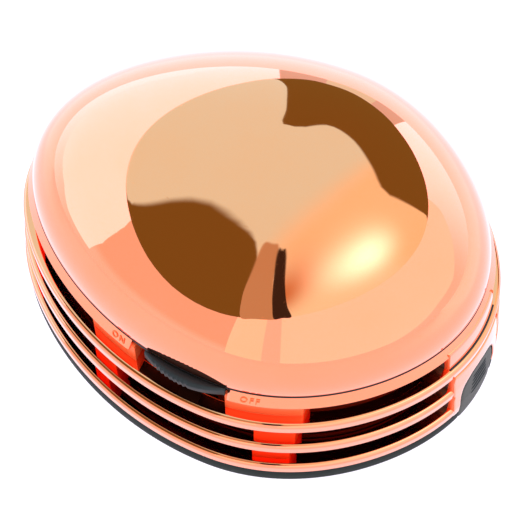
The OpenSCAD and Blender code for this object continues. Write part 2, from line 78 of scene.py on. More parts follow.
class VacuumSizes(bpy.types.PropertyGroup):
    """Sizes of the vacuum's outside, in metres."""

    body_len: length("Body length", "Overall length of the body", 0.120)
    body_wid: length("Body width", "Overall width of the body", 0.096)
    egg_shift: length("Egg shift", "Distance of the widest place in front of the middle", 0.0068)
    corner_cut: bpy.props.FloatProperty(
        name="Corner cut", description="Share by which the plan's corners lie inside an ellipse",
        default=0.026, subtype="FACTOR")
    base_bottom: length("Base bottom", "Height of the underside above the table", 0.0012)
    rim_z: length("Base rim", "Height of the base's rim", 0.0060)
    house_z: length("Wall foot", "Height of the foot of the louvred wall", 0.0062)
    rail_h: length("Rail height", "Height of each rail", 0.0031)
    slot_h: length("Slot height", "Height of each slot", 0.0062)
    rail_setback: length("Rail setback", "How far each rail lies inside the rail below it", 0.0009)
    band_inset: length("Band inset", "How far the band's foot lies inside the lowest rail", 0.0041)
    band_h: length("Band height", "Height of the sloping band", 0.0021)
    seam_inset: length("Seam inset", "How far the seam lies inside the lowest rail", 0.0053)
    rib_inset: length("Rib inset", "How far the ribs stand back", 0.0046)
    inner_inset: length("Inner inset", "How far the wall's inner face lies inside the lowest rail", 0.009)
    dome_rise: length("Dome rise", "Rise of the dome above its seam", 0.0276)
    shell_t: length("Shell", "Wall thickness of the shells", 0.002)
    edge_r: length("Edge radius", "Rounding of the rails' edges", 0.00045)
    front_half: length("Closed front", "Half width of the closed front", 0.0098)
    front_turn: bpy.props.FloatProperty(
        name="Front turn", description="Turn of the closed front and its tab about the middle",
        default=-0.09774, subtype="ANGLE")
    tab_half: length("Tab half width", "Half width of the release tab at its foot", 0.0074)
    tab_rise: length("Tab rise", "Height of the release tab above the base's rim", 0.0132)


class VacuumColours(bpy.types.PropertyGroup):
    """Colours of the vacuum's finishes."""

    plating: colour("Plating", "Rose-gold mirror plating", (1.0, 0.26, 0.105))
    # Painted shade and reflection: a darker, redder copy of the plating that stands for the shade and the
    # reddened reflections in the recesses, and darkens the raised words.
    shaded_plating: colour("Recess", "Plating in the recesses between the rails", (1.0, 0.13, 0.03))
    base: colour("Base", "Dark base", (0.008, 0.0125, 0.0105))
    tab: colour("Tab", "Release tab", (0.060, 0.060, 0.052))
    slider: colour("Slider", "Thumb slider", (0.012, 0.0155, 0.016))
    # The near-black pieces of painted shade at the seam, the crease, the slots' ends and under the slider
    # take this colour too.
    inner: colour("Inner", "Plastic inside the body", (0.010, 0.008, 0.008))
    floor: colour("Floor", "Floor under the vacuum", (0.90, 0.90, 0.90))


def sizes():
    return bpy.context.scene.vacuum_sizes


def colours():
    return bpy.context.scene.vacuum_colours


def pitch():
    """Height of one tier: a rail and the slot above it."""
    return sizes().rail_h + sizes().slot_h


def tier_z(tier):
    """Height of the foot of a tier's rail. The tier after the last one is the sloping band."""
    return sizes().house_z + tier * pitch()


def seam_z():
    """Height of the seam between the sloping band and the dome."""
    return tier_z(TIERS) + sizes().band_h


# Outline of the body

CORNER_FADE = 1.6 * MM
WIDEST_FRONT = 1.2
BED_SPAN = (-13.0 * MM, 11.5 * MM)


def columns(*values):
    """Points whose coordinates are these numbers or arrays, brought to one shape."""
    return np.stack(np.broadcast_arrays(*values), -1)


def plan(t, inset, corner=None):
    """Egg outline at the angles t: two half ellipses about the widest place, lessened by inset, whose
    radius is multiplied by 1 - corner * sin(2t)^2. The corner share fades out toward the inner wall."""
    s = sizes()
    t, inset = np.broadcast_arrays(np.asarray(t, float), np.asarray(inset, float))
    if corner is None:
        corner = s.corner_cut * np.clip((s.inner_inset - inset) / CORNER_FADE, 0.0, 1.0)
    cos, sin = np.cos(t), np.sin(t)
    reach = s.body_len / 2 - inset - np.where(cos > 0, 1.0, -1.0) * s.egg_shift
    round_off = 1.0 - corner * np.sin(2 * t) ** 2
    return s.egg_shift + reach * cos * round_off, (s.body_wid / 2 - inset) * sin * round_off


def carried(t, profile, corner=None):
    """Grid of points: a profile of (inset, height) points at each of the outline's angles t."""
    x, y = plan(t[:, None], profile[None, :, 0], corner)
    return columns(x, y, profile[None, :, 1])


def front_angle(across, inset, halvings=34):
    """Angle at which the outline lies at a distance across from the turned front's middle line: two
    bounds are halved until they meet."""
    turn = sizes().front_turn
    across, inset = np.broadcast_arrays(np.asarray(across, float), np.asarray(inset, float))
    low, high = np.full(across.shape, -WIDEST_FRONT), np.full(across.shape, WIDEST_FRONT)
    for _ in range(halvings):
        mid = (low + high) / 2
        x, y = plan(mid, inset)
        beyond = y * math.cos(turn) - x * math.sin(turn) > across
        low, high = np.where(beyond, low, mid), np.where(beyond, mid, high)
    return mid


def front_grid(across, inset, z):
    """Points of the closed front: across and inset place them in plan, z gives their height."""
    x, y = plan(front_angle(across, inset), inset)
    return columns(x, y, z)


def front_bar(name, across, profile, smooth=True):
    """Bar of the closed front: a profile of (inset, height) points carried across it."""
    return loft(name, front_grid(across[:, None], profile[None, :, 0], profile[None, :, 1]), smooth=smooth)


def turned(obj):
    """Turns a piece drawn on the body's middle line to the closed front's place."""
    obj.data.transform(Matrix.Rotation(sizes().front_turn, 4, "Z"))
    return obj


def side_y(x, inset, side, rounds=14):
    """Width coordinate of the outline at the length x on the left (1) or right (-1) side: the angle is
    corrected a few times for the outline's cut corners."""
    s = sizes()
    x, inset = np.broadcast_arrays(np.asarray(x, float), np.asarray(inset, float))
    reach = s.body_len / 2 - inset - np.where(x > s.egg_shift, 1.0, -1.0) * s.egg_shift
    t = np.full(x.shape, math.pi / 2)
    for _ in range(rounds):
        t = np.arccos(np.clip((x - s.egg_shift) / (reach * (1.0 - s.corner_cut * np.sin(2 * t) ** 2)), -1, 1))
    return side * plan(t, inset, s.corner_cut)[1]


def bed_ends():
    """Angles of the outline at the two ends of the slider's bed."""
    s = sizes()
    run = np.array(BED_SPAN) - s.egg_shift
    half = s.body_len / 2 - np.copysign(s.egg_shift, run) - s.seam_inset
    return TURN - np.arccos(run / half)


def round_bed(count):
    """Angles of the outline from one end of the slider's bed round the body to the other."""
    first, last = bed_ends()
    return np.linspace(last, first + TURN, count)


# Meshes

def box_profile(outer, inner, low, high):
    """Rectangle of (inset, height) points between two insets and two heights."""
    return np.array([(outer, low), (outer, high), (inner, high), (inner, low)])


def rounded(corners, radii, steps=5):
    """Closed profile through the corners (k, 2), each replaced by a curve as long as its radius on both
    sides: the quadratic Bezier curve (1 - w)^2 a + 2 w (1 - w) corner + w^2 b."""
    corners = np.asarray(corners, float)
    out = []
    for p, a, b, r in zip(corners, np.roll(corners, 1, 0), np.roll(corners, -1, 0), radii):
        if r <= 0:
            out.append(p[None])
            continue
        u, v = (a - p) / np.linalg.norm(a - p), (b - p) / np.linalg.norm(b - p)
        w = np.linspace(0, 1, steps)[:, None]
        out.append((1 - w) ** 2 * (p + u * r) + 2 * w * (1 - w) * p + w ** 2 * (p + v * r))
    return np.concatenate(out)


def spline(points, count, closed=False, substeps=24):
    """Catmull-Rom curve through the points, sampled evenly along its length."""
    p = np.asarray(points, float)
    before, after = (p[-1:], p[:2]) if closed else (2 * p[:1] - p[1:2], 2 * p[-1:] - p[-2:-1])
    q = np.vstack([before, p, after])
    w = np.linspace(0, 1, substeps, endpoint=False)[:, None]
    runs = [0.5 * (2 * b + (c - a) * w + (2 * a - 5 * b + 4 * c - d) * w ** 2
                   + (3 * b - a - 3 * c + d) * w ** 3) for a, b, c, d in zip(q, q[1:], q[2:], q[3:])]
    line = np.vstack(runs + [q[-2:-1]])
    run = run_along(line)
    at = np.linspace(0, run[-1], count, endpoint=not closed)
    return np.stack([np.interp(at, run, line[:, k]) for k in range(line.shape[1])], 1)


def run_along(line):
    """Length of the line from its first point up to each of its points."""
    return np.concatenate([[0], np.cumsum(np.linalg.norm(np.diff(line, axis=0), axis=1))])


def circle(count):
    """Evenly spaced angles of a full turn."""
    return np.linspace(0, TURN, count, endpoint=False)


def new_object(name, verts, faces, smooth=True):
    mesh = bpy.data.meshes.new(name)
    mesh.from_pydata(verts, [], faces)
    mesh.validate()
    mesh.polygons.foreach_set("use_smooth", np.full(len(mesh.polygons), smooth))
    obj = bpy.data.objects.new(name, mesh)
    bpy.context.scene.collection.objects.link(obj)
    return obj


def outward(mesh):
    """Turns every closed shell of the mesh so that its faces point outwards."""
    bm = bmesh.new()
    bm.from_mesh(mesh)
    bmesh.ops.remove_doubles(bm, verts=bm.verts, dist=1e-7)
    bmesh.ops.recalc_face_normals(bm, faces=bm.faces)
    bm.to_mesh(mesh)
    bm.free()


def grid_faces(rows, cols, close_rows, close_cols):
    """Quads of a rows x cols grid of points, wrapped round in either direction if asked."""
    i = np.arange(rows if close_rows else rows - 1)
    j = np.arange(cols if close_cols else cols - 1)
    i, j = np.meshgrid(i, j, indexing="ij")
    i2, j2 = (i + 1) % rows, (j + 1) % cols
    return np.stack([i * cols + j, i * cols + j2, i2 * cols + j2, i2 * cols + j], -1).reshape(-1, 4).tolist()


def loft(name, grid, closed=False, smooth=True):
    """Object from a grid of points (rows, cols, 3): rows follow the path and cols the closed profile. An
    open path is capped with one face at each end."""
    rows, cols = grid.shape[:2]
    faces = grid_faces(rows, cols, closed, True)
    if not closed:
        faces += [list(range(cols))[::-1], list(range((rows - 1) * cols, rows * cols))]
    obj = new_object(name, grid.reshape(-1, 3).tolist(), faces, smooth)
    outward(obj.data)
    return obj


def ring(name, profile, t=None, corner=None):
    """Profile of (inset, height) points carried round the egg outline, closed where t is left out."""
    return loft(name, carried(circle(360) if t is None else t, profile, corner), closed=t is None)


def lid(name, profile, segments):
    """Closed drum or dome: a profile of (inset, height, share) points from one pole to the other, where
    share shrinks the outline toward the widest place. The two poles are single points."""
    s = sizes()
    body = profile[1:-1]
    x, y = plan(circle(segments)[None, :], body[:, 0:1])
    grid = columns(s.egg_shift + (x - s.egg_shift) * body[:, 2:3], y * body[:, 2:3], body[:, 1:2])
    pts = grid.reshape(-1, 3).tolist() + [[s.egg_shift, 0, profile[k, 1]] for k in (0, -1)]
    faces = grid_faces(len(body), segments, False, True)
    last = (len(body) - 1) * segments
    faces += [[j, len(pts) - 2, (j + 1) % segments] for j in range(segments)]
    faces += [[last + j, last + (j + 1) % segments, len(pts) - 1] for j in range(segments)]
    obj = new_object(name, pts, faces)
    outward(obj.data)
    return obj


def tube(name, centre, radii, heights, segments=48):
    """Turned piece: radius against height about a vertical axis at centre, closed at both ends."""
    t = circle(segments)
    radii, heights = np.array(radii, float)[:, None], np.array(heights, float)[:, None]
    return loft(name, columns(centre[0] + radii * np.cos(t), centre[1] + radii * np.sin(t), heights))


def pin(name, centre, y0, y1, radius, segments=32):
    """Round pin along the width of the body, about centre in length and height."""
    t = circle(segments)
    ends = np.array([y0, y1])[:, None]
    return loft(name, columns(centre[0] + radius * np.cos(t), ends, centre[1] + radius * np.sin(t)))


def slab(name, low, high, radius=0.0):
    """Box between two corners, its edges rounded by a bevel."""
    low, high = np.array(low, float), np.array(high, float)
    unit = np.array([[0, 0, 0], [1, 0, 0], [1, 1, 0], [0, 1, 0], [0, 0, 1], [1, 0, 1], [1, 1, 1], [0, 1, 1]])
    faces = [[0, 3, 2, 1], [4, 5, 6, 7], [0, 1, 5, 4], [1, 2, 6, 5], [2, 3, 7, 6], [3, 0, 4, 7]]
    obj = new_object(name, (low + unit * (high - low)).tolist(), faces, radius > 0)
    if radius > 0:
        bevel(obj, radius)
    return obj


def bevel(obj, width, segments=3):
    mod = obj.modifiers.new("edges", "BEVEL")
    mod.width, mod.segments, mod.limit_method = width, segments, "ANGLE"
    mod.angle_limit = math.radians(40)
    mod.harden_normals = False
    settle(obj)


def settle(obj):
    """Applies every modifier of the object to its mesh."""
    graph = bpy.context.evaluated_depsgraph_get()
    graph.update()
    mesh = bpy.data.meshes.new_from_object(obj.evaluated_get(graph))
    obj.modifiers.clear()
    old, obj.data = obj.data, mesh
    bpy.data.meshes.remove(old)


def combine(obj, parts, operation):
    """Adds the parts to the object (UNION) or cuts them out of it (DIFFERENCE), and removes them."""
    for part in parts:
        mod = obj.modifiers.new("combine", "BOOLEAN")
        mod.operation, mod.solver, mod.object = operation, "EXACT", part
    settle(obj)
    for part in parts:
        bpy.data.objects.remove(part, do_unlink=True)


def merged(name, parts):
    """One object from several: their meshes one after another."""
    verts, faces, start = [], [], 0
    for part in parts:
        mesh = part.data
        verts.append(places(mesh))
        faces += [[v + start for v in p.vertices] for p in mesh.polygons]
        start += len(mesh.vertices)
        bpy.data.objects.remove(part, do_unlink=True)
    return new_object(name, np.concatenate(verts).tolist(), faces)


def places(mesh):
    """Coordinates of the mesh's vertices as an array (n, 3)."""
    co = np.empty(len(mesh.vertices) * 3)
    mesh.vertices.foreach_get("co", co)
    return co.reshape(-1, 3)


def even_shading(obj):
    """Weights the normals by face area, so that flats stay flat between their rounded edges."""
    mod = obj.modifiers.new("flats", "WEIGHTED_NORMAL")
    mod.mode, mod.weight, mod.keep_sharp = "FACE_AREA", 60, True


def dress(obj, look, body, slot, *nodes):
    """Gives the piece its finish and its body, and hides the CAD nodes that it stands for. Its slot is not
    used.
    """
    obj.data.materials.clear()
    obj.data.materials.append(FINISHES[look])
    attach(obj, body)
    if nodes:
        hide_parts(*nodes)


# Finishes

class Wire:
    """One socket of a node tree, with arithmetic that adds its Math nodes."""

    def __init__(self, tree, socket):
        self.tree, self.socket = tree, socket

    def node(self, kind, settings=None, inputs=None, out=0):
        """Adds a node of this kind, with its settings first and then its sockets' values or links."""
        made = self.tree.nodes.new(kind)
        for key, value in (settings or {}).items():
            setattr(made, key, value)
        for key, value in (inputs or {}).items():
            if isinstance(value, Wire):
                self.tree.links.new(value.socket, made.inputs[key])
            else:
                made.inputs[key].default_value = value
        return Wire(self.tree, made.outputs[out] if made.outputs else None)

    def math(self, operation, a, b=0.0):
        return self.node("ShaderNodeMath", {"operation": operation}, {0: a, 1: b})

    def __add__(self, other):
        return self.math("ADD", self, other)

    def __mul__(self, other):
        return self.math("MULTIPLY", self, other)

    def __sub__(self, other):
        return self.math("SUBTRACT", self, other)

    def __rsub__(self, other):
        return self.math("SUBTRACT", other, self)

    __radd__, __rmul__ = __add__, __mul__

    def exp(self):
        return self.math("EXPONENT", self)

    def axes(self, count):
        """The first coordinates of a vector, as sockets of their own."""
        return [self.node("ShaderNodeSeparateXYZ", {}, {0: self}, k) for k in range(count)]

    def between(self, low, high):
        """Smooth step from 0 at low to 1 at high."""
        settings = {"interpolation_type": "SMOOTHSTEP"}
        return self.node("ShaderNodeMapRange", settings, {0: self, 1: low, 2: high})

    def blend(self, first, second):
        """Mix of two colours, with this socket as the share of the second."""
        return self.node("ShaderNodeMix", {"data_type": "RGBA"}, {0: self, 6: first, 7: second}, 2)

    def noise(self, scale, detail=3.0, stretch=None):
        where = self.node("ShaderNodeMapping", {}, {0: self, 3: stretch}) if stretch else self
        return self.node("ShaderNodeTexNoise", {}, {"Vector": where, "Scale": scale, "Detail": detail})

    def bump(self, strength, distance):
        return self.node("ShaderNodeBump", {}, {"Height": self, "Strength": strength, "Distance": distance})


def rgba(tint, share=1.0):
    """Colour with its alpha, each channel times the share and no more than 1."""
    return (*(min(1.0, channel * share) for channel in tint[:3]), 1.0)


def blank(name):
    """New material that holds only the node of object coordinates, and this node's socket."""
    mat = bpy.data.materials.new(name)
    mat.use_nodes = True
    mat.node_tree.nodes.clear()
    return mat, Wire(mat.node_tree, None).node("ShaderNodeTexCoord", out=3)


def finish(name, paint):
    """Material whose Principled shader's sockets come from paint(object coordinates)."""
    mat, here = blank(name)
    shader = here.node("ShaderNodeBsdfPrincipled", {}, paint(here))
    here.node("ShaderNodeOutputMaterial", {}, {"Surface": shader})
    return mat


def plated(name, tint, rough, strength, metallic=1.0, lacquer=1.0):
    """Vacuum-plated plastic under a clear lacquer: a mirror with faint haze, fine ripple and a few rubbed
    specks."""
    def paint(here):
        haze = here.noise(55.0, 3.0).between(0.35, 0.8)
        speck = here.noise(900.0, 2.0).between(0.70, 0.78)
        ripple = here.noise(40.0, 1.0) * 0.7 + here.noise(1400.0, 1.0) * 0.02
        return {
            "Base Color": (haze * 0.25).blend(rgba(tint), rgba((tint[0], tint[1] * 0.93, tint[2] * 0.9))),
            "Metallic": metallic,
            "Roughness": haze * 0.025 + speck * 0.10 + rough,
            "Coat Weight": lacquer,
            "Coat Roughness": 0.02,
            "Normal": ripple.bump(strength, 0.2 * MM),
        }
    return finish(name, paint)


def moulded(name, tint, rough, specular=0.4):
    """Moulded plastic: fine spark-eroded grain, a slow change of tone and lighter rubbed spots."""
    def paint(here):
        tone = here.noise(70.0, 4.0)
        rub = here.noise(260.0, 5.0).between(0.58, 0.75)
        return {
            "Base Color": (tone * 0.7 + rub * 0.3).blend(rgba(tint, 0.85), rgba(tint, 1.25)),
            "Roughness": tone * 0.12 + rough - rub * 0.08,
            "Specular IOR Level": specular,
            "Normal": here.noise(1600.0, 2.0).bump(0.35, 0.06 * MM),
        }
    return finish(name, paint)


def rubbery(name, tint):
    """Soft rubber: matt, dusty in the hollows of its fine texture."""
    def paint(here):
        dust = here.noise(420.0, 5.0).between(0.45, 0.7)
        return {
            "Base Color": (dust * 0.6).blend(rgba(tint), rgba(tint, 2.4)),
            "Roughness": dust * 0.12 + 0.78,
            "Specular IOR Level": 0.25,
            "Normal": here.noise(2400.0, 2.0).bump(0.5, 0.08 * MM),
        }
    return finish(name, paint)


def metal(name, tint, rough, stretch):
    """Plated or turned metal: fine lines drawn out along one way and a slow change of sheen."""
    def paint(here):
        lines = here.noise(900.0, 3.0, stretch)
        return {
            "Base Color": here.noise(90.0, 3.0).blend(rgba(tint, 0.85), rgba(tint, 1.1)),
            "Metallic": 1.0,
            "Roughness": lines * 0.16 + rough,
            "Normal": lines.bump(0.25, 0.04 * MM),
        }
    return finish(name, paint)


def felted(name, tint):
    """Felt: crossing fibres with a slow change of tone and a soft sheen."""
    def paint(here):
        fibre = sum(here.noise(1500.0, 4.0, along) * 0.5 for along in ((1.0, 0.15, 1.0), (0.15, 1.0, 1.0)))
        tone = fibre * 0.6 + here.noise(180.0, 3.0) * 0.4
        return {
            "Base Color": tone.blend(rgba(tint, 0.72), rgba(tint, 1.12)),
            "Roughness": 0.95,
            "Sheen Weight": 0.3,
            "Normal": fibre.bump(0.9, 0.3 * MM),
        }
    return finish(name, paint)


def sleeved(name, tint):
    """Shrink sleeve of a cell: glossy, with faint rings along its length."""
    def paint(here):
        rings = here.noise(260.0, 2.0, (1.0, 0.02, 0.02))
        return {
            "Base Color": rings.between(0.35, 0.7).blend(rgba(tint, 0.8), rgba(tint, 1.2)),
            "Roughness": here.noise(300.0, 3.0) * 0.1 + 0.22,
            "Coat Weight": 0.4,
            "Normal": rings.bump(0.2, 0.1 * MM),
        }
    return finish(name, paint)


FINISHES = {}


def make_finishes():
    c = colours()
    FINISHES.update({
        "mirror": plated("rose_gold_mirror", c.plating, 0.018, 0.05),
        # Painted shade and reflection: the darker, redder copy of the plating for the ribs, the slots' end
        # liners and the words.
        "shaded_plating": plated("painted_shade_plating", c.shaded_plating, 0.42, 0.10, 0.5, 0.0),
        "base": moulded("base_plastic", c.base, 0.48, 0.11),
        "tab": moulded("tab_plastic", c.tab, 0.50, 0.16),
        "slider": moulded("slider_plastic", c.slider, 0.42, 0.22),
        "inner": moulded("inner_plastic", c.inner, 0.50),
        "white": moulded("white_plastic", (0.72, 0.72, 0.70), 0.35),
        "rubber": rubbery("soft_rubber", (0.018, 0.018, 0.019)),
        "felt": felted("filter_felt", (0.72, 0.70, 0.63)),
        "steel": metal("motor_steel", (0.60, 0.60, 0.61), 0.22, (1.0, 1.0, 0.04)),
        "nickel": metal("contact_nickel", (0.68, 0.66, 0.62), 0.18, (0.05, 1.0, 1.0)),
        "sleeve": sleeved("cell_sleeve", (0.02, 0.16, 0.07)),
    })


# Outline of the tab

TAB_WIDTH_SHARES = (1.0, 0.99, 0.95, 0.87, 0.74, 0.56, 0.36, 0.0)
TAB_HEIGHT_SHARES = (0.0, 0.35, 0.56, 0.72, 0.84, 0.93, 0.98, 1.0)
TAB_FOOT_Z = 1.5 * MM
TAB_GAP = 0.38 * MM
TAB_PIVOT = (53.4 * MM, 3.75 * MM)
TAB_EAR = 3.2 * MM
FRONT_INSETS = (-0.03 * MM, 0.86 * MM, 1.72 * MM)
UPPER_STEP_SHARE = 0.7


def tab_line(gap, count=60):
    """Right half of the tab's outline, widened by gap along its normal: (half width, height) points from
    the rim up to the tip, where the half width is zero."""
    s = sizes()
    line = spline(columns(s.tab_half * np.array(TAB_WIDTH_SHARES),
                          s.rim_z + s.tab_rise * np.array(TAB_HEIGHT_SHARES)), count)
    along = np.gradient(line, axis=0)
    along[-1] = (-1.0, 0.0)
    along /= np.linalg.norm(along, axis=1)[:, None]
    out = line + gap * columns(along[:, 1], -along[:, 0])
    out[-1, 0] = 0.0
    return out


def front_inset(z):
    """Inset of the closed front: flush with the two lower rails, then drawn in toward the top rail."""
    low = sizes().house_z + sizes().rail_h
    return np.interp(z, [low, low + pitch(), low + (1 + UPPER_STEP_SHARE) * pitch()], FRONT_INSETS)


# Pieces

BOSS_X = (39.4 * MM, -37.2 * MM)
BOSS_Y = 14.4 * MM
RAIL_EDGE_SHARES = np.array([0.6, 2.6, 0.3, 0.3])
BAND_EDGE_SHARES = np.array([0.6, 0.5, 0.3, 0.3])
BAND_BACK_INSET = 11 * MM


class VACUUM_OT_dome(bpy.types.Operator):
    """Mirror dome: an elliptic arch from the seam to the top, with its inner face and screw bosses. Its
    height over the seam is rise * sin(a) where the outline is shrunk to the share cos(a)."""

    bl_idname = "vacuum.add_dome"
    bl_label = "Dome"

    def execute(self, context):
        s = sizes()
        gap, foot_r = 0.3 * MM, 0.4 * MM
        low = seam_z() + gap
        up, turn = np.linspace(math.pi / 2, 0.0, 120), np.linspace(0, math.pi / 2, 6)[1:]
        back_up = up[::-4]
        outer = columns(s.seam_inset, low + foot_r + (s.dome_rise - gap - foot_r) * np.sin(up), np.cos(up))
        foot = columns(s.seam_inset + foot_r * (1 - np.cos(turn)), low + foot_r * (1 - np.sin(turn)), 1.0)
        inner = columns(s.seam_inset + s.shell_t, low + (s.dome_rise - s.shell_t) * np.sin(back_up),
                        np.cos(back_up))
        dome = lid("dome_shell", np.vstack([outer, foot, inner]), 320)
        dress(dome, "mirror", "upper", "mirror_plating", "dome_cover")
        bosses = [self.boss(x, y) for x in BOSS_X for y in (BOSS_Y, -BOSS_Y)]
        dress(merged("dome_bosses", bosses), "inner", "upper", "inner_plastic")
        return {"FINISHED"}

    def boss(self, x, y):
        """Screw boss from the band's foot up into the dome's shell, with a blind hole from below."""
        s = sizes()
        hole_r, hole_deep, rim_r, side_r, root_r = 0.9 * MM, 9 * MM, 2.8 * MM, 3.0 * MM, 3.2 * MM
        chamfer, thinner, sunk = 0.2 * MM, 1.2 * MM, 2.2 * MM
        reach = s.body_len / 2 - s.seam_inset - math.copysign(s.egg_shift, x)
        share = ((x - s.egg_shift) / reach) ** 2 + (y / (s.body_wid / 2 - s.seam_inset)) ** 2
        foot, top = tier_z(TIERS), seam_z() + (s.dome_rise - thinner) * math.sqrt(1 - share) - sunk
        return tube("boss", (x, y), [0.0, hole_r, hole_r, rim_r, side_r, root_r, 0.0],
                    [foot + hole_deep, foot + hole_deep, foot, foot, foot + chamfer, top, top], 40)


class VACUUM_OT_rails(bpy.types.Operator):
    """Three rails and the sloping band: rounded profiles carried round the egg outline."""

    bl_idname = "vacuum.add_rails"
    bl_label = "Rails and band"

    def execute(self, context):
        s = sizes()
        into_front, drop, lean, bed_back, end = 0.4 * MM, 0.7 * MM, 0.4 * MM, 8.2 * MM, 0.05
        parts = []
        for k in range(TIERS):
            out = k * s.rail_setback
            profile = rounded(box_profile(out, s.inner_inset, tier_z(k), tier_z(k) + s.rail_h),
                              s.edge_r * RAIL_EDGE_SHARES, 10)
            low, high = front_angle(np.array(SIDES) * (s.front_half - into_front), out)
            parts.append(ring("rail", profile, None if k == 2 else np.linspace(high, low + TURN, 360)))
        z, top = tier_z(TIERS), seam_z()
        band = rounded([(s.band_inset - lean, z - drop), (s.seam_inset + 0.02 * MM, top),
                        (BAND_BACK_INSET, top), (BAND_BACK_INSET, z - drop)], s.edge_r * BAND_EDGE_SHARES, 7)
        parts.append(ring("band", band, round_bed(340)))
        first, last = bed_ends()
        backing = rounded(box_profile(bed_back, BAND_BACK_INSET, z, top), [0.3 * s.edge_r] * 4, 4)
        parts.append(ring("backing", backing, np.linspace(first - end, last + end, 40)))
        wall = merged("louvre_rails", parts)
        even_shading(wall)
        dress(wall, "mirror", "upper", "mirror_plating", "rail_low", "rail_mid", "rail_top", "slope_band")
        # Painted shade: a near-black bed in the band's gap round the slider stands for the shade there.
        bed_t, bed_in, bed_r, bed_end = 0.9 * MM, 0.1 * MM, 0.2 * MM, 0.01
        bed = rounded(box_profile(s.seam_inset + bed_in, s.inner_inset, top - bed_t, top), [bed_r] * 4, 4)
        bed = ring("slider_shadow_bed", bed, np.linspace(first - bed_end, last + bed_end, 60))
        dress(bed, "inner", "upper", "inner_plastic")
        return {"FINISHED"}


class VACUUM_OT_front(bpy.types.Operator):
    """Closed front of the wall: a patch between the tab's outline and the slots' ends, and the brow
    between the top rail and the band. A point of the patch is inner * (1 - share) + rim * share."""

    bl_idname = "vacuum.add_front"
    bl_label = "Closed front"

    def execute(self, context):
        s = sizes()
        lip_r, back, sunk = 0.4 * MM, 3.0 * MM, 0.35 * MM
        top = tier_z(2) - sunk
        half = tab_line(TAB_GAP)
        half = half[half[:, 1] > s.house_z - 0.05 * MM]
        half[0, 1] = s.house_z
        outer = np.array([(s.front_half, s.house_z), (s.front_half, top), (0, top)])
        run, own = run_along(outer), run_along(half)
        corner = own[np.argmax(half[:, 0] < 0.86 * s.tab_half)]
        at = np.interp(own, [0, corner, own[-1]], run)
        side = columns(*(np.interp(at, run, outer[:, k]) for k in range(2)))
        inner, rim = (np.vstack([edge, edge[-2::-1] * (-1, 1)])[:, None] for edge in (half, side))
        rim_shares = np.array([0.0, 0.0, 0.03, 0.08, 0.16, 0.28, 0.4, 0.5, 0.6, 0.7, 0.8, 0.94, 1.0, 1.0])
        drop = np.zeros(len(rim_shares))
        drop[:4] = (back, 0.7 * lip_r, 0.3 * lip_r, 0.08 * lip_r)
        drop[-2:] = (0.1 * MM, back)
        share = rim_shares[None, :, None]
        across, z = np.moveaxis(inner * (1 - share) + rim * share, -1, 0)
        patch = loft("front", front_grid(across, front_inset(z) + drop, z))
        z0, z1 = tier_z(2) + s.rail_h - 0.2 * MM, tier_z(TIERS) + 0.3 * MM
        profile = np.array([(2.95 * MM, z0), (s.band_inset - 0.42 * MM, z1 - 0.9 * MM), (s.band_inset, z1),
                            (s.inner_inset, z1), (s.inner_inset, z0)])
        brow = front_bar("brow", np.linspace(-1, 1, 60) * s.front_half, profile)
        bevel(brow, 0.2 * MM)
        panel = merged("front_panel_skin", [patch, brow])
        even_shading(panel)
        dress(panel, "mirror", "upper", "mirror_plating", "front_panel", "front_brow")
        return {"FINISHED"}


# Where the ribs of each tier lie at the rear (-1) and at the front (1), as distances from the middle
RIB_SPANS_MM = {-1: ((23.0, 28.0), (19.2, 26.4), (12.0, 25.0)), 1: ((16.8, 25.2), (17.2, 26.2), (10.8, 27.6))}


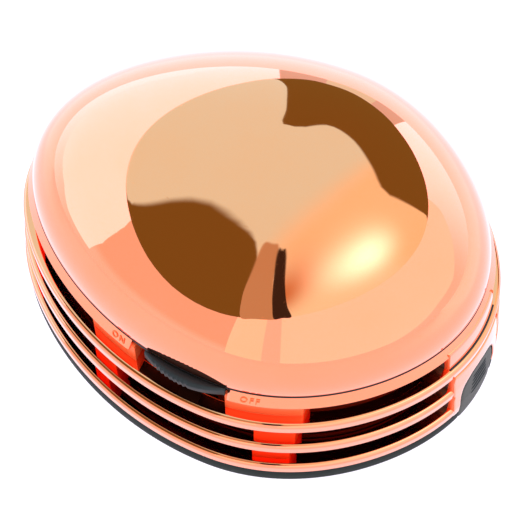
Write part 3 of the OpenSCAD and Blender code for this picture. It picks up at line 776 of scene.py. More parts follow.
class VACUUM_OT_ribs(bpy.types.Operator):
    """Ribs between the rails, in a darker, redder copy of the plating that is painted shade and reflection:
    blocks whose outer face follows the outline, one tier above another. The painted shadow lines of the seam,
    the crease and the slots' ends are near-black pieces of their own."""

    bl_idname = "vacuum.add_ribs"
    bl_label = "Ribs"

    def block(self, x0, x1, side, z0, z1):
        s = sizes()
        x = np.linspace(x0, x1, 10)[:, None]
        profile = box_profile(s.rib_inset, s.inner_inset, z0, z1)
        y = side_y(x, profile[None, :, 0], side)
        return loft("rib", columns(x, y, profile[None, :, 1]), smooth=False)

    def slot_ends(self, tier, z0, z1):
        """Plated liners at both ends of a slot, in the copy of the plating that is painted shade and
        reflection, and near-black blocks of painted shade behind them.
        """
        s = sizes()
        out, lean = (0.5 * MM + tier * s.rail_setback, 0.0) if tier < 2 else (3.1 * MM, 0.6 * MM)
        liner, dark_from = 1.3 * MM, 1.2 * MM
        across = np.array([s.front_half - 0.3 * MM, s.front_half + 0.12 * MM])
        found = []
        # The first pair is the liners; the second pair is near-black blocks of painted shade behind them.
        for near, far in ((out, out + liner), (out + dark_from, s.inner_inset)):
            profile = np.array([(near, z0), (near + lean, z1), (far, z1), (far, z0)])
            found.append([front_bar("end", end * across, profile, smooth=False) for end in SIDES])
        return found

    def execute(self, context):
        s = sizes()
        hold, rear_half = 0.3 * MM, 8 * MM
        parts, shades = [], []
        for k in range(TIERS):
            z0 = tier_z(k) + s.rail_h - hold
            z1 = z0 + s.slot_h + 2 * hold
            for side in SIDES:
                for end in SIDES:
                    lo, hi = sorted(end * reach * MM for reach in RIB_SPANS_MM[end][k])
                    parts.append(self.block(lo, hi, side, z0, z1))
            liners, darks = self.slot_ends(k, z0, z1)
            parts += liners
            shades += darks
        z0, z1 = tier_z(0) + s.rail_h - hold, tier_z(TIERS) + hold
        t = math.pi - np.arcsin(np.linspace(-rear_half, rear_half, 14) / (s.body_wid / 2 - s.rib_inset))
        parts.append(loft("rib", carried(t, box_profile(s.rib_inset, s.inner_inset, z0, z1)), smooth=False))
        ribs = merged("rib_skins", parts)
        bevel(ribs, 0.2 * MM, 2)
        # Painted shade and reflection: the ribs and the slots' end liners take the darker, redder copy of the
        # plating.
        dress(ribs, "shaded_plating", "upper", "mirror_plating", "wall_ribs")
        # Painted shadow: a near-black bar under the brow and a near-black ring round the dome's seam stand
        # for the shade in the crease and the seam.
        z0, line_h, line_in = tier_z(2) + s.rail_h - 0.1 * MM, 0.45 * MM, 3.3 * MM
        profile = np.array([(2.72 * MM, z0), (2.80 * MM, z0 + line_h), (line_in, z0 + line_h), (line_in, z0)])
        shades.append(front_bar("crease", np.linspace(-1, 1, 40) * s.front_half, profile))
        seam = box_profile(s.seam_inset - 0.06 * MM, s.seam_inset + 0.4 * MM, seam_z() - 0.3 * MM,
                           seam_z() + 0.02 * MM)
        shades.append(ring("seam", rounded(seam, [0.05 * MM] * 4, 3), round_bed(300)))
        dress(merged("painted_shadow_lines", shades), "inner", "upper", "inner_plastic")
        return {"FINISHED"}


class VACUUM_OT_words(bpy.types.Operator):
    """Raised ON and OFF beside the thumb slider, bent to the band: the letters' height becomes a share of
    the band's height, and their depth an inset."""

    bl_idname = "vacuum.add_words"
    bl_label = "Switch words"

    def execute(self, context):
        s = sizes()
        letter_h, raised, edge, base_share, squeeze = 2.1 * MM, 0.22 * MM, 0.02 * MM, 0.26, 1.2
        parts = []
        for word, middle in (("ON", -16.4 * MM), ("OFF", 16.6 * MM)):
            curve = bpy.data.curves.new("word", "FONT")
            curve.body, curve.size, curve.align_x, curve.align_y = word, letter_h, "CENTER", "CENTER"
            curve.extrude, curve.bevel_depth, curve.space_character = raised, edge, 1.3
            text = bpy.data.objects.new("word", curve)
            bpy.context.scene.collection.objects.link(text)
            graph = bpy.context.evaluated_depsgraph_get()
            mesh = bpy.data.meshes.new_from_object(text.evaluated_get(graph))
            bpy.data.objects.remove(text, do_unlink=True)
            flat = places(mesh)
            share = base_share + flat[:, 1] / (s.band_h * squeeze)
            inset = s.band_inset + (s.seam_inset - s.band_inset) * share + 0.02 * MM - flat[:, 2]
            x = middle + flat[:, 0]
            bent = columns(x, side_y(x, inset, -1), tier_z(TIERS) + share * s.band_h)
            mesh.vertices.foreach_set("co", bent.ravel())
            outward(mesh)
            obj = bpy.data.objects.new("word", mesh)
            bpy.context.scene.collection.objects.link(obj)
            parts.append(obj)
        words = merged("switch_words", parts)
        words.data.polygons.foreach_set("use_smooth", np.zeros(len(words.data.polygons), bool))
        # Painted shade: the raised words take the darker, redder copy of the plating so that they read darker
        # than the band.
        dress(words, "shaded_plating", "upper", "mirror_plating")
        return {"FINISHED"}


LIP_INSETS = (9.4 * MM, 10.8 * MM)


class VACUUM_OT_base(bpy.types.Operator):
    """Dark base: a shallow dish with a rounded foot, a locating lip, the inlet slot, the tab's notch and
    the seats of the feet and strips."""

    bl_idname = "vacuum.add_base"
    bl_label = "Base"

    def dish(self):
        """Dish between the underside and its floor, with the foot as a quarter circle."""
        s = sizes()
        low, rim, floor = s.base_bottom, s.rim_z, s.base_bottom + s.shell_t
        foot_r, out, wall = 1.0 * MM, 0.05 * MM, 2.4 * MM
        under_shares, floor_shares = np.array([0.0, 0.5, 0.97]), np.array([1.0, 0.5, 0.0])
        a = np.linspace(0, math.pi / 2, 8)
        under = columns(out + foot_r, low, under_shares)
        foot = columns(out + foot_r - foot_r * np.sin(a), low + foot_r * (1 - np.cos(a)), 1.0)
        edge = [(out, rim - 0.3 * MM, 1.0), (out + 0.1 * MM, rim - 0.1 * MM, 1.0), (0.4 * MM, rim, 1.0),
                (wall, rim, 1.0)]
        inside = columns(wall, floor, floor_shares)
        return lid("base_dish", np.vstack([under, foot, edge, inside]), 240)

    def cutters(self, notch):
        """Solids that leave the tab's notch, the inlet slot and the seats of pivot, feet and strips."""
        duct_wall, play, through = 1.4 * MM, 0.05 * MM, 20 * MM
        low, foot_r = -1 * MM, 4.55 * MM
        (x0, y0, _), (x1, y1, _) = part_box("inlet_duct")
        made = [turned(slab("cut", (51.2 * MM, -notch, low), (70 * MM, notch, through))),
                slab("cut", (x0 + duct_wall, y0 + duct_wall, low), (x1 - duct_wall, y1 - duct_wall, through))]
        for node in FEET:
            (x0, y0, _), (x1, y1, top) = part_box(node)
            made.append(tube("cut", ((x0 + x1) / 2, (y0 + y1) / 2), [foot_r, foot_r], [low, top]))
        for node in STRIPS:
            (x0, y0, _), (x1, y1, top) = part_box(node)
            made.append(slab("cut", (x0 - play, y0 - play, low), (x1 + play, y1 + play, top)))
        return made + [turned(pin("cut", TAB_PIVOT, -notch - TAB_EAR, notch + TAB_EAR, 1.15 * MM))]

    def execute(self, context):
        s = sizes()
        floor, lip_h, lip_r = s.base_bottom + s.shell_t, 3 * MM, 0.4 * MM
        lip = ring("lip", rounded(box_profile(*LIP_INSETS, floor - 0.5 * MM, s.rim_z + lip_h),
                                  [0, lip_r, lip_r, 0], 4), corner=0.0)
        notch = s.tab_half + 0.4 * MM
        far = notch + 3.4 * MM
        cheeks = [turned(slab("cheek", (49.8 * MM, min(k * notch, k * far), floor - 1 * MM),
                              (54.9 * MM, max(k * notch, k * far), s.rim_z - 0.4 * MM))) for k in SIDES]
        base = self.dish()
        combine(base, [lip] + cheeks, "UNION")
        combine(base, self.cutters(notch), "DIFFERENCE")
        base.data.polygons.foreach_set("use_smooth", np.ones(len(base.data.polygons), bool))
        base.data.set_sharp_from_angle(angle=math.radians(38))
        dress(base, "base", "base", "base_plastic", "base_cover")
        return {"FINISHED"}


class VACUUM_OT_tab(bpy.types.Operator):
    """Release tab: an arch-shaped tongue flush with the closed front, crowned at its edges, with grip
    ridges and its two pivots."""

    bl_idname = "vacuum.add_tab"
    bl_label = "Release tab"

    def hollow(self, across, z):
        """Shallow thumb hollow: deep * exp(-1.2 * ((across / wide)^2 + ((z - middle) / high)^2))."""
        deep, wide, high, middle = 0.3 * MM, 4.6 * MM, 5 * MM, 12.6 * MM
        return deep * np.exp(-((across / wide) ** 2 + ((z - middle) / high) ** 2) * 1.2)

    def tongue(self):
        """Tongue of the tab: rows go up its outline, and each row goes across its face and back."""
        s = sizes()
        edge_r, proud_share, thick, back_share, tip = 0.8 * MM, 0.6, 1.9 * MM, 0.985, 0.05 * MM
        foot = columns(s.tab_half, np.linspace(TAB_FOOT_Z, s.rim_z, 8, endpoint=False))
        line = np.vstack([foot, tab_line(0.0, 70)])
        line[-1, 0] = tip
        a = -np.cos(np.linspace(0, math.pi, 41))[None]
        w, z = line[:, 0:1], line[:, 1:2]
        across = w * a
        near = np.minimum((1 - np.abs(a)) * w, line[-1, 1] - z + 0 * across)
        round_off = edge_r - np.sqrt(np.maximum(edge_r ** 2 - (edge_r - near) ** 2, 0))
        crown = np.where(near < edge_r, round_off, 0.0)
        skin = np.maximum(front_inset(z), 0.0)
        front = front_grid(across, skin + 0.10 * MM + proud_share * crown + self.hollow(across, z), z)
        back = front_grid(across * back_share, skin + thick, z)
        return loft("tongue", np.concatenate([front, back[:, ::-1]], 1))

    def ridge(self, number):
        """Grip ridge: a small ring of points carried across the tab, thinner toward its ends."""
        first_z, step, half_h, half, taper, sunk, proud = (
            8.8 * MM, 1.75 * MM, 0.42 * MM, 3.9 * MM, 0.05, 0.22 * MM, 0.34 * MM)
        t, u = circle(10)[None], np.linspace(-1, 1, 26)[:, None]
        thin = np.sqrt(np.maximum(1 - np.abs(u) ** 6, 0.04))
        z = first_z + step * number + half_h * np.sin(t) * thin
        across = u * half * (1 - taper * number)
        inset = np.maximum(front_inset(z), 0.0) + sunk + self.hollow(across, z) - proud * np.cos(t) * thin
        return loft("ridge", front_grid(across, inset, z))

    def execute(self, context):
        s = sizes()
        wide, ear = s.tab_half - 0.5 * MM, s.tab_half + TAB_EAR
        web = slab("web", (52.5 * MM, -wide, 2.7 * MM), (57.6 * MM, wide, 4.8 * MM), 0.3 * MM)
        pivot = pin("pivot", TAB_PIVOT, -ear, ear, 1.1 * MM)
        tab = merged("press_tab", [self.tongue(), turned(web), turned(pivot)])
        even_shading(tab)
        dress(tab, "tab", "tab", "tab_plastic", "release_tab")
        dress(merged("tab_ridges", [self.ridge(k) for k in range(5)]), "slider", "tab", "tab_plastic")
        return {"FINISHED"}


class VACUUM_OT_slider(bpy.types.Operator):
    """Thumb slider: a bent plate that swells into a grip with cosine teeth, and its foot through the
    wall. The swell is 1 - |x / half|^1.9."""

    bl_idname = "vacuum.add_slider"
    bl_label = "Thumb slider"

    def execute(self, context):
        s = sizes()
        (x0, _, z0), (x1, y1, z1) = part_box("switch_slider")
        swell_at, swell_half, proud, edge_inset = 0.6 * MM, 9.8 * MM, 2.1 * MM, 4.5 * MM
        grip_from, grip_to, tooth, tooth_pitch = -6.6 * MM, 3.2 * MM, 0.26 * MM, 1.15 * MM
        edge_r, slope, trim = 0.5 * MM, 0.4 * MM, 0.1 * MM
        x = np.linspace(x0, x1, 181)
        inner = side_y(x, s.seam_inset - 0.3 * MM, -1)
        swell = np.clip(1 - np.abs((x - swell_at) / swell_half) ** 1.9, 0, 1)
        grip = np.clip((x - grip_from) / MM, 0, 1) * np.clip((grip_to - x) / MM, 0, 1)
        teeth = grip * tooth * (0.5 + 0.5 * np.cos(x / tooth_pitch * TURN))
        full = side_y(x, edge_inset, -1) - proud * swell + teeth
        low = full + slope * swell
        arc = np.linspace(0, math.pi / 2, 6)
        rows = [(inner, z0 + trim), (inner, z1 - trim)]
        rows += [(full + edge_r * (1 - math.sin(a)), z1 - edge_r * (1 - math.cos(a))) for a in arc]
        rows += [(low + edge_r * (1 - math.cos(a)), z0 + edge_r * (1 - math.sin(a))) for a in arc]
        plate = loft("plate", np.stack([columns(x, y, z) for y, z in rows], 1))
        foot = slab("foot", (-1.5 * MM, -44.5 * MM, 33.8 * MM), (3.5 * MM, y1, 34.8 * MM), 0.15 * MM)
        slider = merged("thumb_slider", [plate, foot])
        even_shading(slider)
        dress(slider, "slider", "slider", "slider_plastic", "switch_slider")
        return {"FINISHED"}


class VACUUM_OT_underside(bpy.types.Operator):
    """Rubber feet with rounded rims and a dimple, and ribbed wiper strips."""

    bl_idname = "vacuum.add_underside"
    bl_label = "Feet and strips"

    def execute(self, context):
        for node in FEET:
            (x0, y0, _), (x1, y1, top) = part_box(node)
            r = (x1 - x0) / 2
            dimple, edge_h, chamfer = 0.35 * MM, 0.35 * MM, 0.1 * MM
            radii = [0, r * 0.5, r * 0.62, r * 0.8, r * 0.92, r, r, r - 2 * chamfer, 0]
            heights = [dimple, 0.3 * MM, 0.05 * MM, 0.0, 0.06 * MM, edge_h, top - chamfer, top, top]
            foot = tube(node + "_pad", ((x0 + x1) / 2, (y0 + y1) / 2), radii, heights, 64)
            even_shading(foot)
            dress(foot, "rubber", "base", "soft_rubber", node)
        for node in STRIPS:
            dress(self.strip(node), "rubber", "base", "soft_rubber", node)
        return {"FINISHED"}

    def strip(self, node):
        """Wiper strip: a bar with a narrow foot that waves up and down by a cosine along its length."""
        (x0, y0, low), (x1, y1, top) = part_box(node)
        shoulder, step, wave_h, wave_pitch = 0.6 * MM, 0.25 * MM, 0.16 * MM, 1.0 * MM
        y = np.linspace(y0, y1, 125)[:, None]
        wave = wave_h * (0.5 + 0.5 * np.cos(y / wave_pitch * TURN))
        mid, half = (x0 + x1) / 2, (x1 - x0) / 2
        left = np.array([(-1, top), (-1, low + shoulder), (-0.6, low + step), (-0.3, low)])
        profile = np.vstack([left, left[::-1] * (-1, 1)])
        x, z = mid + half * profile[None, :, 0], profile[None, :, 1]
        return loft(node + "_lip", columns(x, y, z + wave * (z < low + shoulder / 2)), smooth=False)


class VACUUM_OT_filter(bpy.types.Operator):
    """Felt pad of the filter, quilted by a product of two cosines, and the soft seal on the base's lip."""

    bl_idname = "vacuum.add_filter"
    bl_label = "Filter and seal"

    def execute(self, context):
        lo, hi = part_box("filter_pad")
        r, soft, quilt_h, quilt, edge_w = (hi[0] - lo[0]) / 2, 0.45 * MM, 0.25 * MM, 6 * MM, 0.5 * MM
        radius_shares = np.array([0.02, 0.1, 0.2, 0.3, 0.4, 0.5, 0.6, 0.7, 0.8, 0.9, 0.96, 0.99, 1.0])
        rho = r * radius_shares[:, None]
        t = circle(96)
        edge = np.clip((r - rho) / edge_w, 0, 1) ** 0.5
        x, y = rho * np.cos(t), rho * np.sin(t)
        puff = quilt_h * (0.5 + 0.5 * np.cos(x / quilt * TURN) * np.cos(y / quilt * TURN))
        low = columns(x, y, lo[2] + soft * (1 - edge) + puff * edge)
        high = columns(x, y, hi[2] - 0.02 * MM - soft * (1 - edge))
        pad = loft("felt_pad", np.concatenate([low, high[::-1]], 0))
        dress(pad, "felt", "upper", "filter_felt", "filter_pad")
        lo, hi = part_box("dust_seal")
        skin, seal_r = 0.05 * MM, 0.5 * MM
        profile = box_profile(LIP_INSETS[0] + skin, LIP_INSETS[1] - skin, lo[2], hi[2])
        seal = ring("lip_seal", rounded(profile, [0, seal_r, seal_r, 0], 6), corner=0.0)
        dress(seal, "rubber", "base", "soft_rubber", "dust_seal")
        return {"FINISHED"}


class VACUUM_OT_springs(bpy.types.Operator):
    """Battery springs: a wire wound on a cone, its radius big + (small - big) * t from plate to cell."""

    bl_idname = "vacuum.add_springs"
    bl_label = "Battery springs"

    def execute(self, context):
        turns, wire, small = 4.0, 0.32 * MM, 2.4 * MM
        t, q = np.linspace(0, 1, 240), circle(8)[None, :, None]
        for node in ("contact_spring_left", "contact_spring_right"):
            lo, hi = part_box(node)
            a = t * turns * TURN
            r = (hi[1] - lo[1]) / 2 - wire
            r = r + (small - r) * t
            x = lo[0] + wire + (hi[0] - lo[0] - 2 * wire) * t
            if node.endswith("right"):
                x = hi[0] - (x - lo[0])
            path = columns(x, (lo[1] + hi[1]) / 2 + r * np.cos(a), (lo[2] + hi[2]) / 2 + r * np.sin(a))
            along = np.gradient(path, axis=0)
            along /= np.linalg.norm(along, axis=1)[:, None]
            side = np.cross(along, (1.0, 0.0, 0.0))
            side /= np.linalg.norm(side, axis=1)[:, None]
            other = np.cross(along, side)
            spring = loft(node + "_wire", path[:, None] + wire * (side[:, None] * np.cos(q)
                                                                  + other[:, None] * np.sin(q)))
            dress(spring, "nickel", "upper", "contact_metal", node)
        return {"FINISHED"}


INSIDE = {
    "mirror": ("front_wall",),
    "inner": ("inlet_duct", "inlet_flap", "motor_deck", "fan_plate", "motor_end_cap", "battery_tray",
              "switch_lever", "switch_body"),
    "white": ("filter_frame", "impeller"),
    "steel": ("motor_can", "motor_shaft"),
    "sleeve": ("battery_left", "battery_right"),
    "nickel": ("contact_front_left", "contact_front_right", "contact_rear_left", "contact_rear_right",
               "switch_bracket", "deck_screws", "plate_screws"),
}


class VACUUM_OT_inside(bpy.types.Operator):
    """Finishes of the CAD pieces inside the body."""

    bl_idname = "vacuum.finish_inside"
    bl_label = "Inside finishes"

    def execute(self, context):
        for look, nodes in INSIDE.items():
            for node in nodes:
                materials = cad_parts[node].data.materials
                materials.clear()
                materials.append(FINISHES[look])
        return {"FINISHED"}


# Camera

PICTURE_PX = 522.0
FOCAL_PX = 1709.6
SENSOR_MM = 36.0
CAMERA_AZIMUTH = math.radians(23.47)
CAMERA_ELEVATION = math.radians(61.0)
CAMERA_DISTANCE = 424.4 * MM
CAMERA_RIGHT = 0.73 * MM
CAMERA_UP = 7.3 * MM


def camera_axes():
    """The camera's right, up and backward directions, and its place."""
    az, el = CAMERA_AZIMUTH, CAMERA_ELEVATION
    right = Vector((math.cos(az), math.sin(az), 0.0))
    backward = Vector((math.sin(az) * math.cos(el), -math.cos(az) * math.cos(el), math.sin(el)))
    up = backward.cross(right)
    return right, up, backward, right * CAMERA_RIGHT + up * CAMERA_UP + backward * CAMERA_DISTANCE


def mirrored(points):
    """Slopes (dx / dz, dy / dz) of the rays that the dome sends to the camera at points of its picture. A
    ray r from the eye meets one of the dome's half ellipsoids at the nearer root of |o + t r| = 1, in a
    space scaled by its half axes, and turns to r - 2 (r . n) n about the normal n."""
    s = sizes()
    right, up, backward, eye = (np.array(axis) for axis in camera_axes())
    x, y = np.asarray(points, float).T[:, :, None]
    ray = right * (x - PICTURE_PX / 2) / FOCAL_PX + up * (PICTURE_PX / 2 - y) / FOCAL_PX - backward
    slopes = np.zeros((len(ray), 2))
    for side in SIDES:
        axes = np.array([s.body_len / 2 - s.seam_inset - side * s.egg_shift, s.body_wid / 2 - s.seam_inset,
                         s.dome_rise])
        o, r = (eye - (s.egg_shift, 0.0, seam_z())) / axes, ray / axes
        a, b, c = (r * r).sum(1), 2 * (r @ o), o @ o - 1
        t = (-b - np.sqrt(np.maximum(b * b - 4 * a * c, 0.0))) / (2 * a)
        normal = (o + t[:, None] * r) / axes
        own = normal[:, 0] * side >= 0
        normal /= np.linalg.norm(normal, axis=1)[:, None]
        away = ray - 2 * (ray * normal).sum(1)[:, None] * normal
        slopes[own] = (away[:, :2] / away[:, 2:])[own]
    return slopes


# Cards of the studio that the mirrors show. Their edges in the dome are drawn as points (x, y, softness)
# of the camera's picture, and the edge of the oval as an ellipse.

FAR = 90.0
CEILING = 6.0
OVAL_MIDDLE_PX = (276, 199)
OVAL_REACH_PX = (152, 121)
FIELD_LOW_EDGE_PX = (
    (124, 202, 0.03), (134, 208, 0.06), (150, 207, 0.06), (173, 203, 0.06), (201, 204, 0.08),
    (221, 216, 0.10), (242, 229, 0.06), (256, 243, 0.03), (259, 271, 0.02), (253, 300, 0.0))
FIELD_HIGH_EDGE_PX = (
    (426, 214, 0.02), (417, 206, 0.04), (398, 195, 0.06), (384, 187, 0.06), (374, 164, 0.05),
    (357, 141, 0.05), (331, 127, 0.04), (298, 127, 0.03), (281, 123, 0.01), (284, 105, 0.01), (281, 85, 0.01))
STRIP_RIGHT_EDGE_PX = (
    (265, 243, 0.02), (277, 242, 0.03), (285, 248, 0.02), (279, 280, 0.0), (280, 305, 0.0), (285, 320, 0.0))
STRIP_LEFT_EDGE_PX = ((245, 297, 0.0), (254, 269, 0.02))
DARK_RIGHT_EDGE_PX = (
    (281, 251, 0.02), (288, 248, 0.04), (293, 253, 0.02), (292, 285, 0.004), (295, 307, 0.0))
DARK_LEFT_EDGE_PX = ((279, 305, 0.0), (279, 283, 0.004))

# Azimuths and elevations of the wall cards, in degrees
DIM_AZIMUTHS = (-160.5, -168, -180, -188)
LEFT_AZIMUTHS = (-160.5, -155, -146, -110, -82, -76, -72, -68, -64, -61, -58)
LEFT_FEET = (0.2, 1, 6, 8, 8.5, 6, 4.3, 3.8, 3.4, 3.1, 3.0)
LEFT_HEADS = (60, 60, 60, 60, 60, 52, 46, 41, 36, 29, 17)
RIGHT_AZIMUTHS = (19, 40, 64, 78, 91, 107, 118, 130, 141, 146)
RIGHT_FEET = (0.5, 0.5, 0.8, 4, 8, 9, 14, 18, 21.8, 27)
SHADE_AZIMUTHS = (-76, -62, -50, -30, -4)
SHADE_FEET = (9, 7, 3, 2, 1)
NEAR_AZIMUTHS = (-6, 10.8)

DIM_LIGHT = (0.85, 1.0, 1.05)
SMALL_LIGHT = (0.9, 1.4, 1.3)
FLOOR_NEAR = (0.76, 0.72, 0.80)
FLOOR_BACK = (1.0, 0.97, 1.12)
FLOOR_FAR = (0.86, 0.97, 1.13)


def rim(first, last, count):
    """Sharp points of the oval's edge between two angles in degrees: an ellipse in the picture."""
    a = np.radians(np.linspace(first, last, count))
    return columns(OVAL_MIDDLE_PX[0] + OVAL_REACH_PX[0] * np.cos(a),
                   OVAL_MIDDLE_PX[1] - OVAL_REACH_PX[1] * np.sin(a), 0.0)


def card(name, verts, faces, soft, glow):
    """Card of the studio, seen in the mirrors only. Its light is given by glow(u, v) from the card's
    coordinates over the ceiling's height, and fades where soft, a value for each vertex, falls to 0."""
    obj = new_object(name, verts, faces, smooth=False)
    obj.data.attributes.new("soft", "FLOAT", "POINT").data.foreach_set("value", np.asarray(soft, np.float32))
    mat, here = blank(name)
    u, v = (axis * (1 / CEILING) for axis in here.axes(2))
    fade = here.node("ShaderNodeAttribute", {"attribute_name": "soft"}, {}, 2).between(0.0, 1.0)
    light = here.node("ShaderNodeEmission", {}, {"Color": glow(u, v), "Strength": 1.0})
    clear = here.node("ShaderNodeBsdfTransparent")
    here.node("ShaderNodeOutputMaterial", {}, {
        "Surface": here.node("ShaderNodeMixShader", {}, {0: fade, 1: clear, 2: light})})
    obj.data.materials.append(mat)
    obj.visible_camera = obj.visible_diffuse = obj.visible_shadow = obj.visible_transmission = False


def ceiling_card(name, edges, level, glow, count=200):
    """Card under the ceiling whose mirror image in the dome has these edges, the level counted downward:
    inside its outline it fades over the softness."""
    points = np.vstack(edges)
    line = spline(np.column_stack([mirrored(points[:, :2]), points[:, 2]]), count, closed=True)
    u, v, soft = line.T
    du, dv = (np.roll(c, -1) - np.roll(c, 1) for c in (u, v))
    area = np.sum(u * np.roll(v, -1) - v * np.roll(u, -1))
    inward = np.sign(area) * np.stack([-dv, du], 1) / np.hypot(du, dv)[:, None]
    inner = line[:, :2] + inward * np.clip(soft, 0.002, 1)[:, None]
    height = CEILING * (1 - 0.01 * level)
    verts = np.vstack([line[:, :2], inner]) * height
    k = np.arange(count)
    faces = columns(k, (k + 1) % count, (k + 1) % count + count, k + count).tolist()
    card(name, columns(verts[:, 0], verts[:, 1], height).tolist(), faces + [list(range(count, 2 * count))],
         np.repeat([0.0, 1.0], count), glow)


def wall_card(name, azimuths, feet, tint, fade=0.3, heads=60, count=90):
    """Upright card bent round the object at the distance FAR, in degrees: its lower edge follows the
    elevations feet and fades in above them, its upper edge follows the elevations heads."""
    a = np.linspace(azimuths[0], azimuths[-1], count)
    low, high = (np.interp(a, azimuths, np.broadcast_to(edge, len(azimuths))) for edge in (feet, heads))
    away = FAR * (1 + 0.02 * fade)
    rows = np.tan(np.radians([low, low + fade, high]))
    verts = columns(away * np.sin(np.radians(a)), -away * np.cos(np.radians(a)), away * rows)
    card(name, verts.reshape(-1, 3).tolist(), grid_faces(3, count, False, False),
         np.repeat([0.0, 1.0, 1.0], count), lambda u, v: rgba_light(tint))


def rgba_light(tint):
    """Light of a card or the floor, which may be above 1."""
    return (*tint, 1.0)


def bell(a, b, a_square, b_square):
    """Bell curve exp(-2 (a^2 / a_square + b^2 / b_square))."""
    return (a * a * (-2 / a_square) - b * b * (2 / b_square)).exp()


def field_light(u, v):
    """Lit field of the ceiling: pale at one side, warmer at the other, shaded beside the strips, with one
    soft lamp."""
    pale, warm, low_warm = (0.86, 1.72, 1.85, 1.0), (1.1, 1.52, 1.22, 1.0), (1.1, 1.75, 1.62, 1.0)
    shade, lamp = (0.72, 0.50, 0.25, 1.0), (3.6, 4.0, 4.5, 1.0)
    field = (u - v * 0.22 + 0.02).between(-0.10, 0.14).blend(pale, warm)
    field = (u * 0.4 - v - 0.1).between(-0.1, 0.35).blend(field, low_warm)
    field = bell(u - 0.20, v + 0.55, 0.044, 0.32).blend(field, shade)
    a, b = u - 0.52, v - 0.05
    return bell(a * 0.25 + b * 0.97, a * 0.97 - b * 0.25, 0.17, 0.064).blend(field, lamp)


def floor_paint(here):
    """Pale floor that glows by itself, brighter away from the object and toward its back, and a little
    cooler far behind the object."""
    shade = rgba(colours().floor, 0.22)
    x, y = here.axes(2)
    square = x * x + y * y
    back = y.between(-0.15, 0.08) * square.between(0.010, 0.058)
    far = y.between(0.02, 0.047) * square.between(0.024, 0.042)
    glow = back.blend(rgba_light(FLOOR_NEAR), rgba_light(FLOOR_BACK))
    return {
        "Base Color": (here.noise(3.0, 2.0) * 0.2).blend(shade, rgba(shade, 0.98)),
        "Emission Color": far.blend(glow, rgba_light(FLOOR_FAR)),
        "Emission Strength": 1.3,
        "Roughness": 0.9,
        "Specular IOR Level": 0.1,
    }


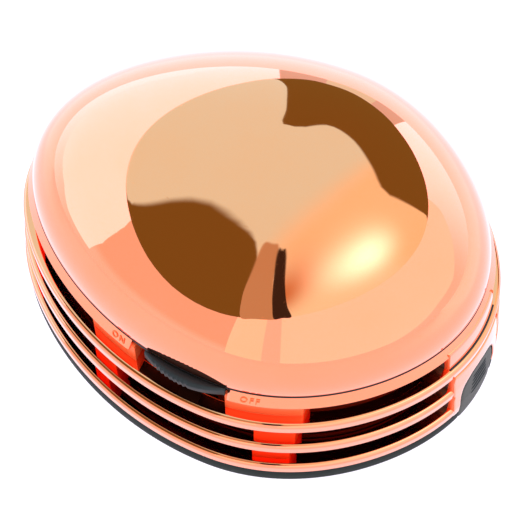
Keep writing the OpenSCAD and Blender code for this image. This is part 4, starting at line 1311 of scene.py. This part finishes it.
class VACUUM_OT_stage(bpy.types.Operator):
    """Pale floor, soft studio light and the camera at the photograph's angle."""

    bl_idname = "vacuum.add_stage"
    bl_label = "Stage"

    def sky(self):
        """Light of the surroundings, brighter behind the object."""
        near, behind = (1.4, 1.4, 1.6, 1.0), (2.4, 2.5, 3.5, 1.0)
        world = bpy.data.worlds.new("studio")
        world.use_nodes = True
        bpy.context.scene.world = world
        x, y = Wire(world.node_tree, None).node("ShaderNodeTexCoord").axes(2)
        back = world.node_tree.nodes["Background"]
        bright = (y * 0.92 - x * 0.4).between(-0.2, 1.0).blend(near, behind)
        world.node_tree.links.new(bright.socket, back.inputs["Color"])
        back.inputs["Strength"].default_value = 1.0

    def cards(self):
        """Cards under the ceiling and round the object, which only the mirrors show."""
        ceiling_card("ground_card", [rim(0, 345, 24)], 0, lambda u, v: (0.22, 0.205, 0.045, 1.0))
        ceiling_card("field_card", [FIELD_LOW_EDGE_PX, rim(261, 345, 7), FIELD_HIGH_EDGE_PX, rim(93, 165, 6)],
                     1, field_light)
        ceiling_card("strip_card", [STRIP_RIGHT_EDGE_PX, rim(264, 258, 2), STRIP_LEFT_EDGE_PX],
                     2, lambda u, v: (0.62, 0.66, 0.46, 1.0))
        ceiling_card("dark_card", [DARK_RIGHT_EDGE_PX, rim(279, 272, 3), DARK_LEFT_EDGE_PX],
                     3, lambda u, v: (0.05, 0.045, 0.035, 1.0))
        wall_card("shade_card", SHADE_AZIMUTHS, SHADE_FEET, (1.1, 1.12, 1.13), 9)
        wall_card("left_card", LEFT_AZIMUTHS, LEFT_FEET, (2.1, 2.4, 3.3), heads=LEFT_HEADS)
        for k, tint in enumerate((DIM_LIGHT, SMALL_LIGHT, DIM_LIGHT)):
            wall_card("back_card_%d" % k, (DIM_AZIMUTHS[k + 1], DIM_AZIMUTHS[k]), 0, tint, 0.05)
        wall_card("right_card", RIGHT_AZIMUTHS, RIGHT_FEET, (1.75, 1.78, 1.95))
        wall_card("near_card", NEAR_AZIMUTHS, 0.5, (1.75, 1.75, 1.8))

    def camera(self):
        right, up, backward, place = camera_axes()
        data = bpy.data.cameras.new("camera")
        data.sensor_width = SENSOR_MM
        data.lens = SENSOR_MM * FOCAL_PX / PICTURE_PX
        data.clip_start, data.clip_end = 0.01, 200.0
        cam = bpy.data.objects.new("camera", data)
        cam.matrix_world = Matrix.Translation(place) @ Matrix((right, up, backward)).transposed().to_4x4()
        bpy.context.scene.collection.objects.link(cam)
        bpy.context.scene.camera = cam

    def lamp(self, name, place, power, across=0.5):
        data = bpy.data.lights.new(name, "AREA")
        data.shape, data.size, data.energy = "DISK", across, power
        lamp = bpy.data.objects.new(name, data)
        lamp.location = place
        lamp.rotation_euler = (-Vector(place)).to_track_quat("-Z", "Y").to_euler()
        lamp.visible_camera = lamp.visible_glossy = False
        bpy.context.scene.collection.objects.link(lamp)

    def execute(self, context):
        context.scene.view_settings.view_transform = "Standard"
        half = 1.4 * FAR
        floor = new_object("floor", [(-half, -half, 0), (half, -half, 0), (half, half, 0), (-half, half, 0)],
                           [[0, 1, 2, 3]], False)
        floor.data.materials.append(finish("pale_floor", floor_paint))
        self.sky()
        self.cards()
        self.camera()
        self.lamp("key", (-0.5, -0.5, 0.7), 3.0)
        self.lamp("fill", (0.7, 0.1, 0.6), 2.0)
        return {"FINISHED"}


# Add-on

OPERATORS = (
    VACUUM_OT_stage, VACUUM_OT_dome, VACUUM_OT_rails, VACUUM_OT_front, VACUUM_OT_ribs, VACUUM_OT_words,
    VACUUM_OT_base, VACUUM_OT_tab, VACUUM_OT_slider, VACUUM_OT_underside, VACUUM_OT_filter,
    VACUUM_OT_springs, VACUUM_OT_inside,
)


class VACUUM_PT_panel(bpy.types.Panel):
    """Lists the pieces of the vacuum in the 3D view's sidebar."""

    bl_idname = "VACUUM_PT_panel"
    bl_label = "Desktop Mini Vacuum"
    bl_space_type = "VIEW_3D"
    bl_region_type = "UI"
    bl_category = "Vacuum"

    def draw(self, context):
        for group in (sizes(), colours()):
            box = self.layout.box()
            for key in group.__annotations__:
                box.prop(group, key)
        for op in OPERATORS:
            self.layout.operator(op.bl_idname)


CLASSES = (VacuumSizes, VacuumColours, *OPERATORS, VACUUM_PT_panel)


def register():
    for cls in CLASSES:
        bpy.utils.register_class(cls)
    bpy.types.Scene.vacuum_sizes = bpy.props.PointerProperty(type=VacuumSizes)
    bpy.types.Scene.vacuum_colours = bpy.props.PointerProperty(type=VacuumColours)


def unregister():
    del bpy.types.Scene.vacuum_colours
    del bpy.types.Scene.vacuum_sizes
    for cls in reversed(CLASSES):
        bpy.utils.unregister_class(cls)


def main():
    register()
    make_finishes()
    for op in OPERATORS:
        group, name = op.bl_idname.split(".")
        if getattr(getattr(bpy.ops, group), name)() != {"FINISHED"}:
            raise RuntimeError("%s did not finish" % op.bl_idname)


if __name__ == "__main__":
    main()
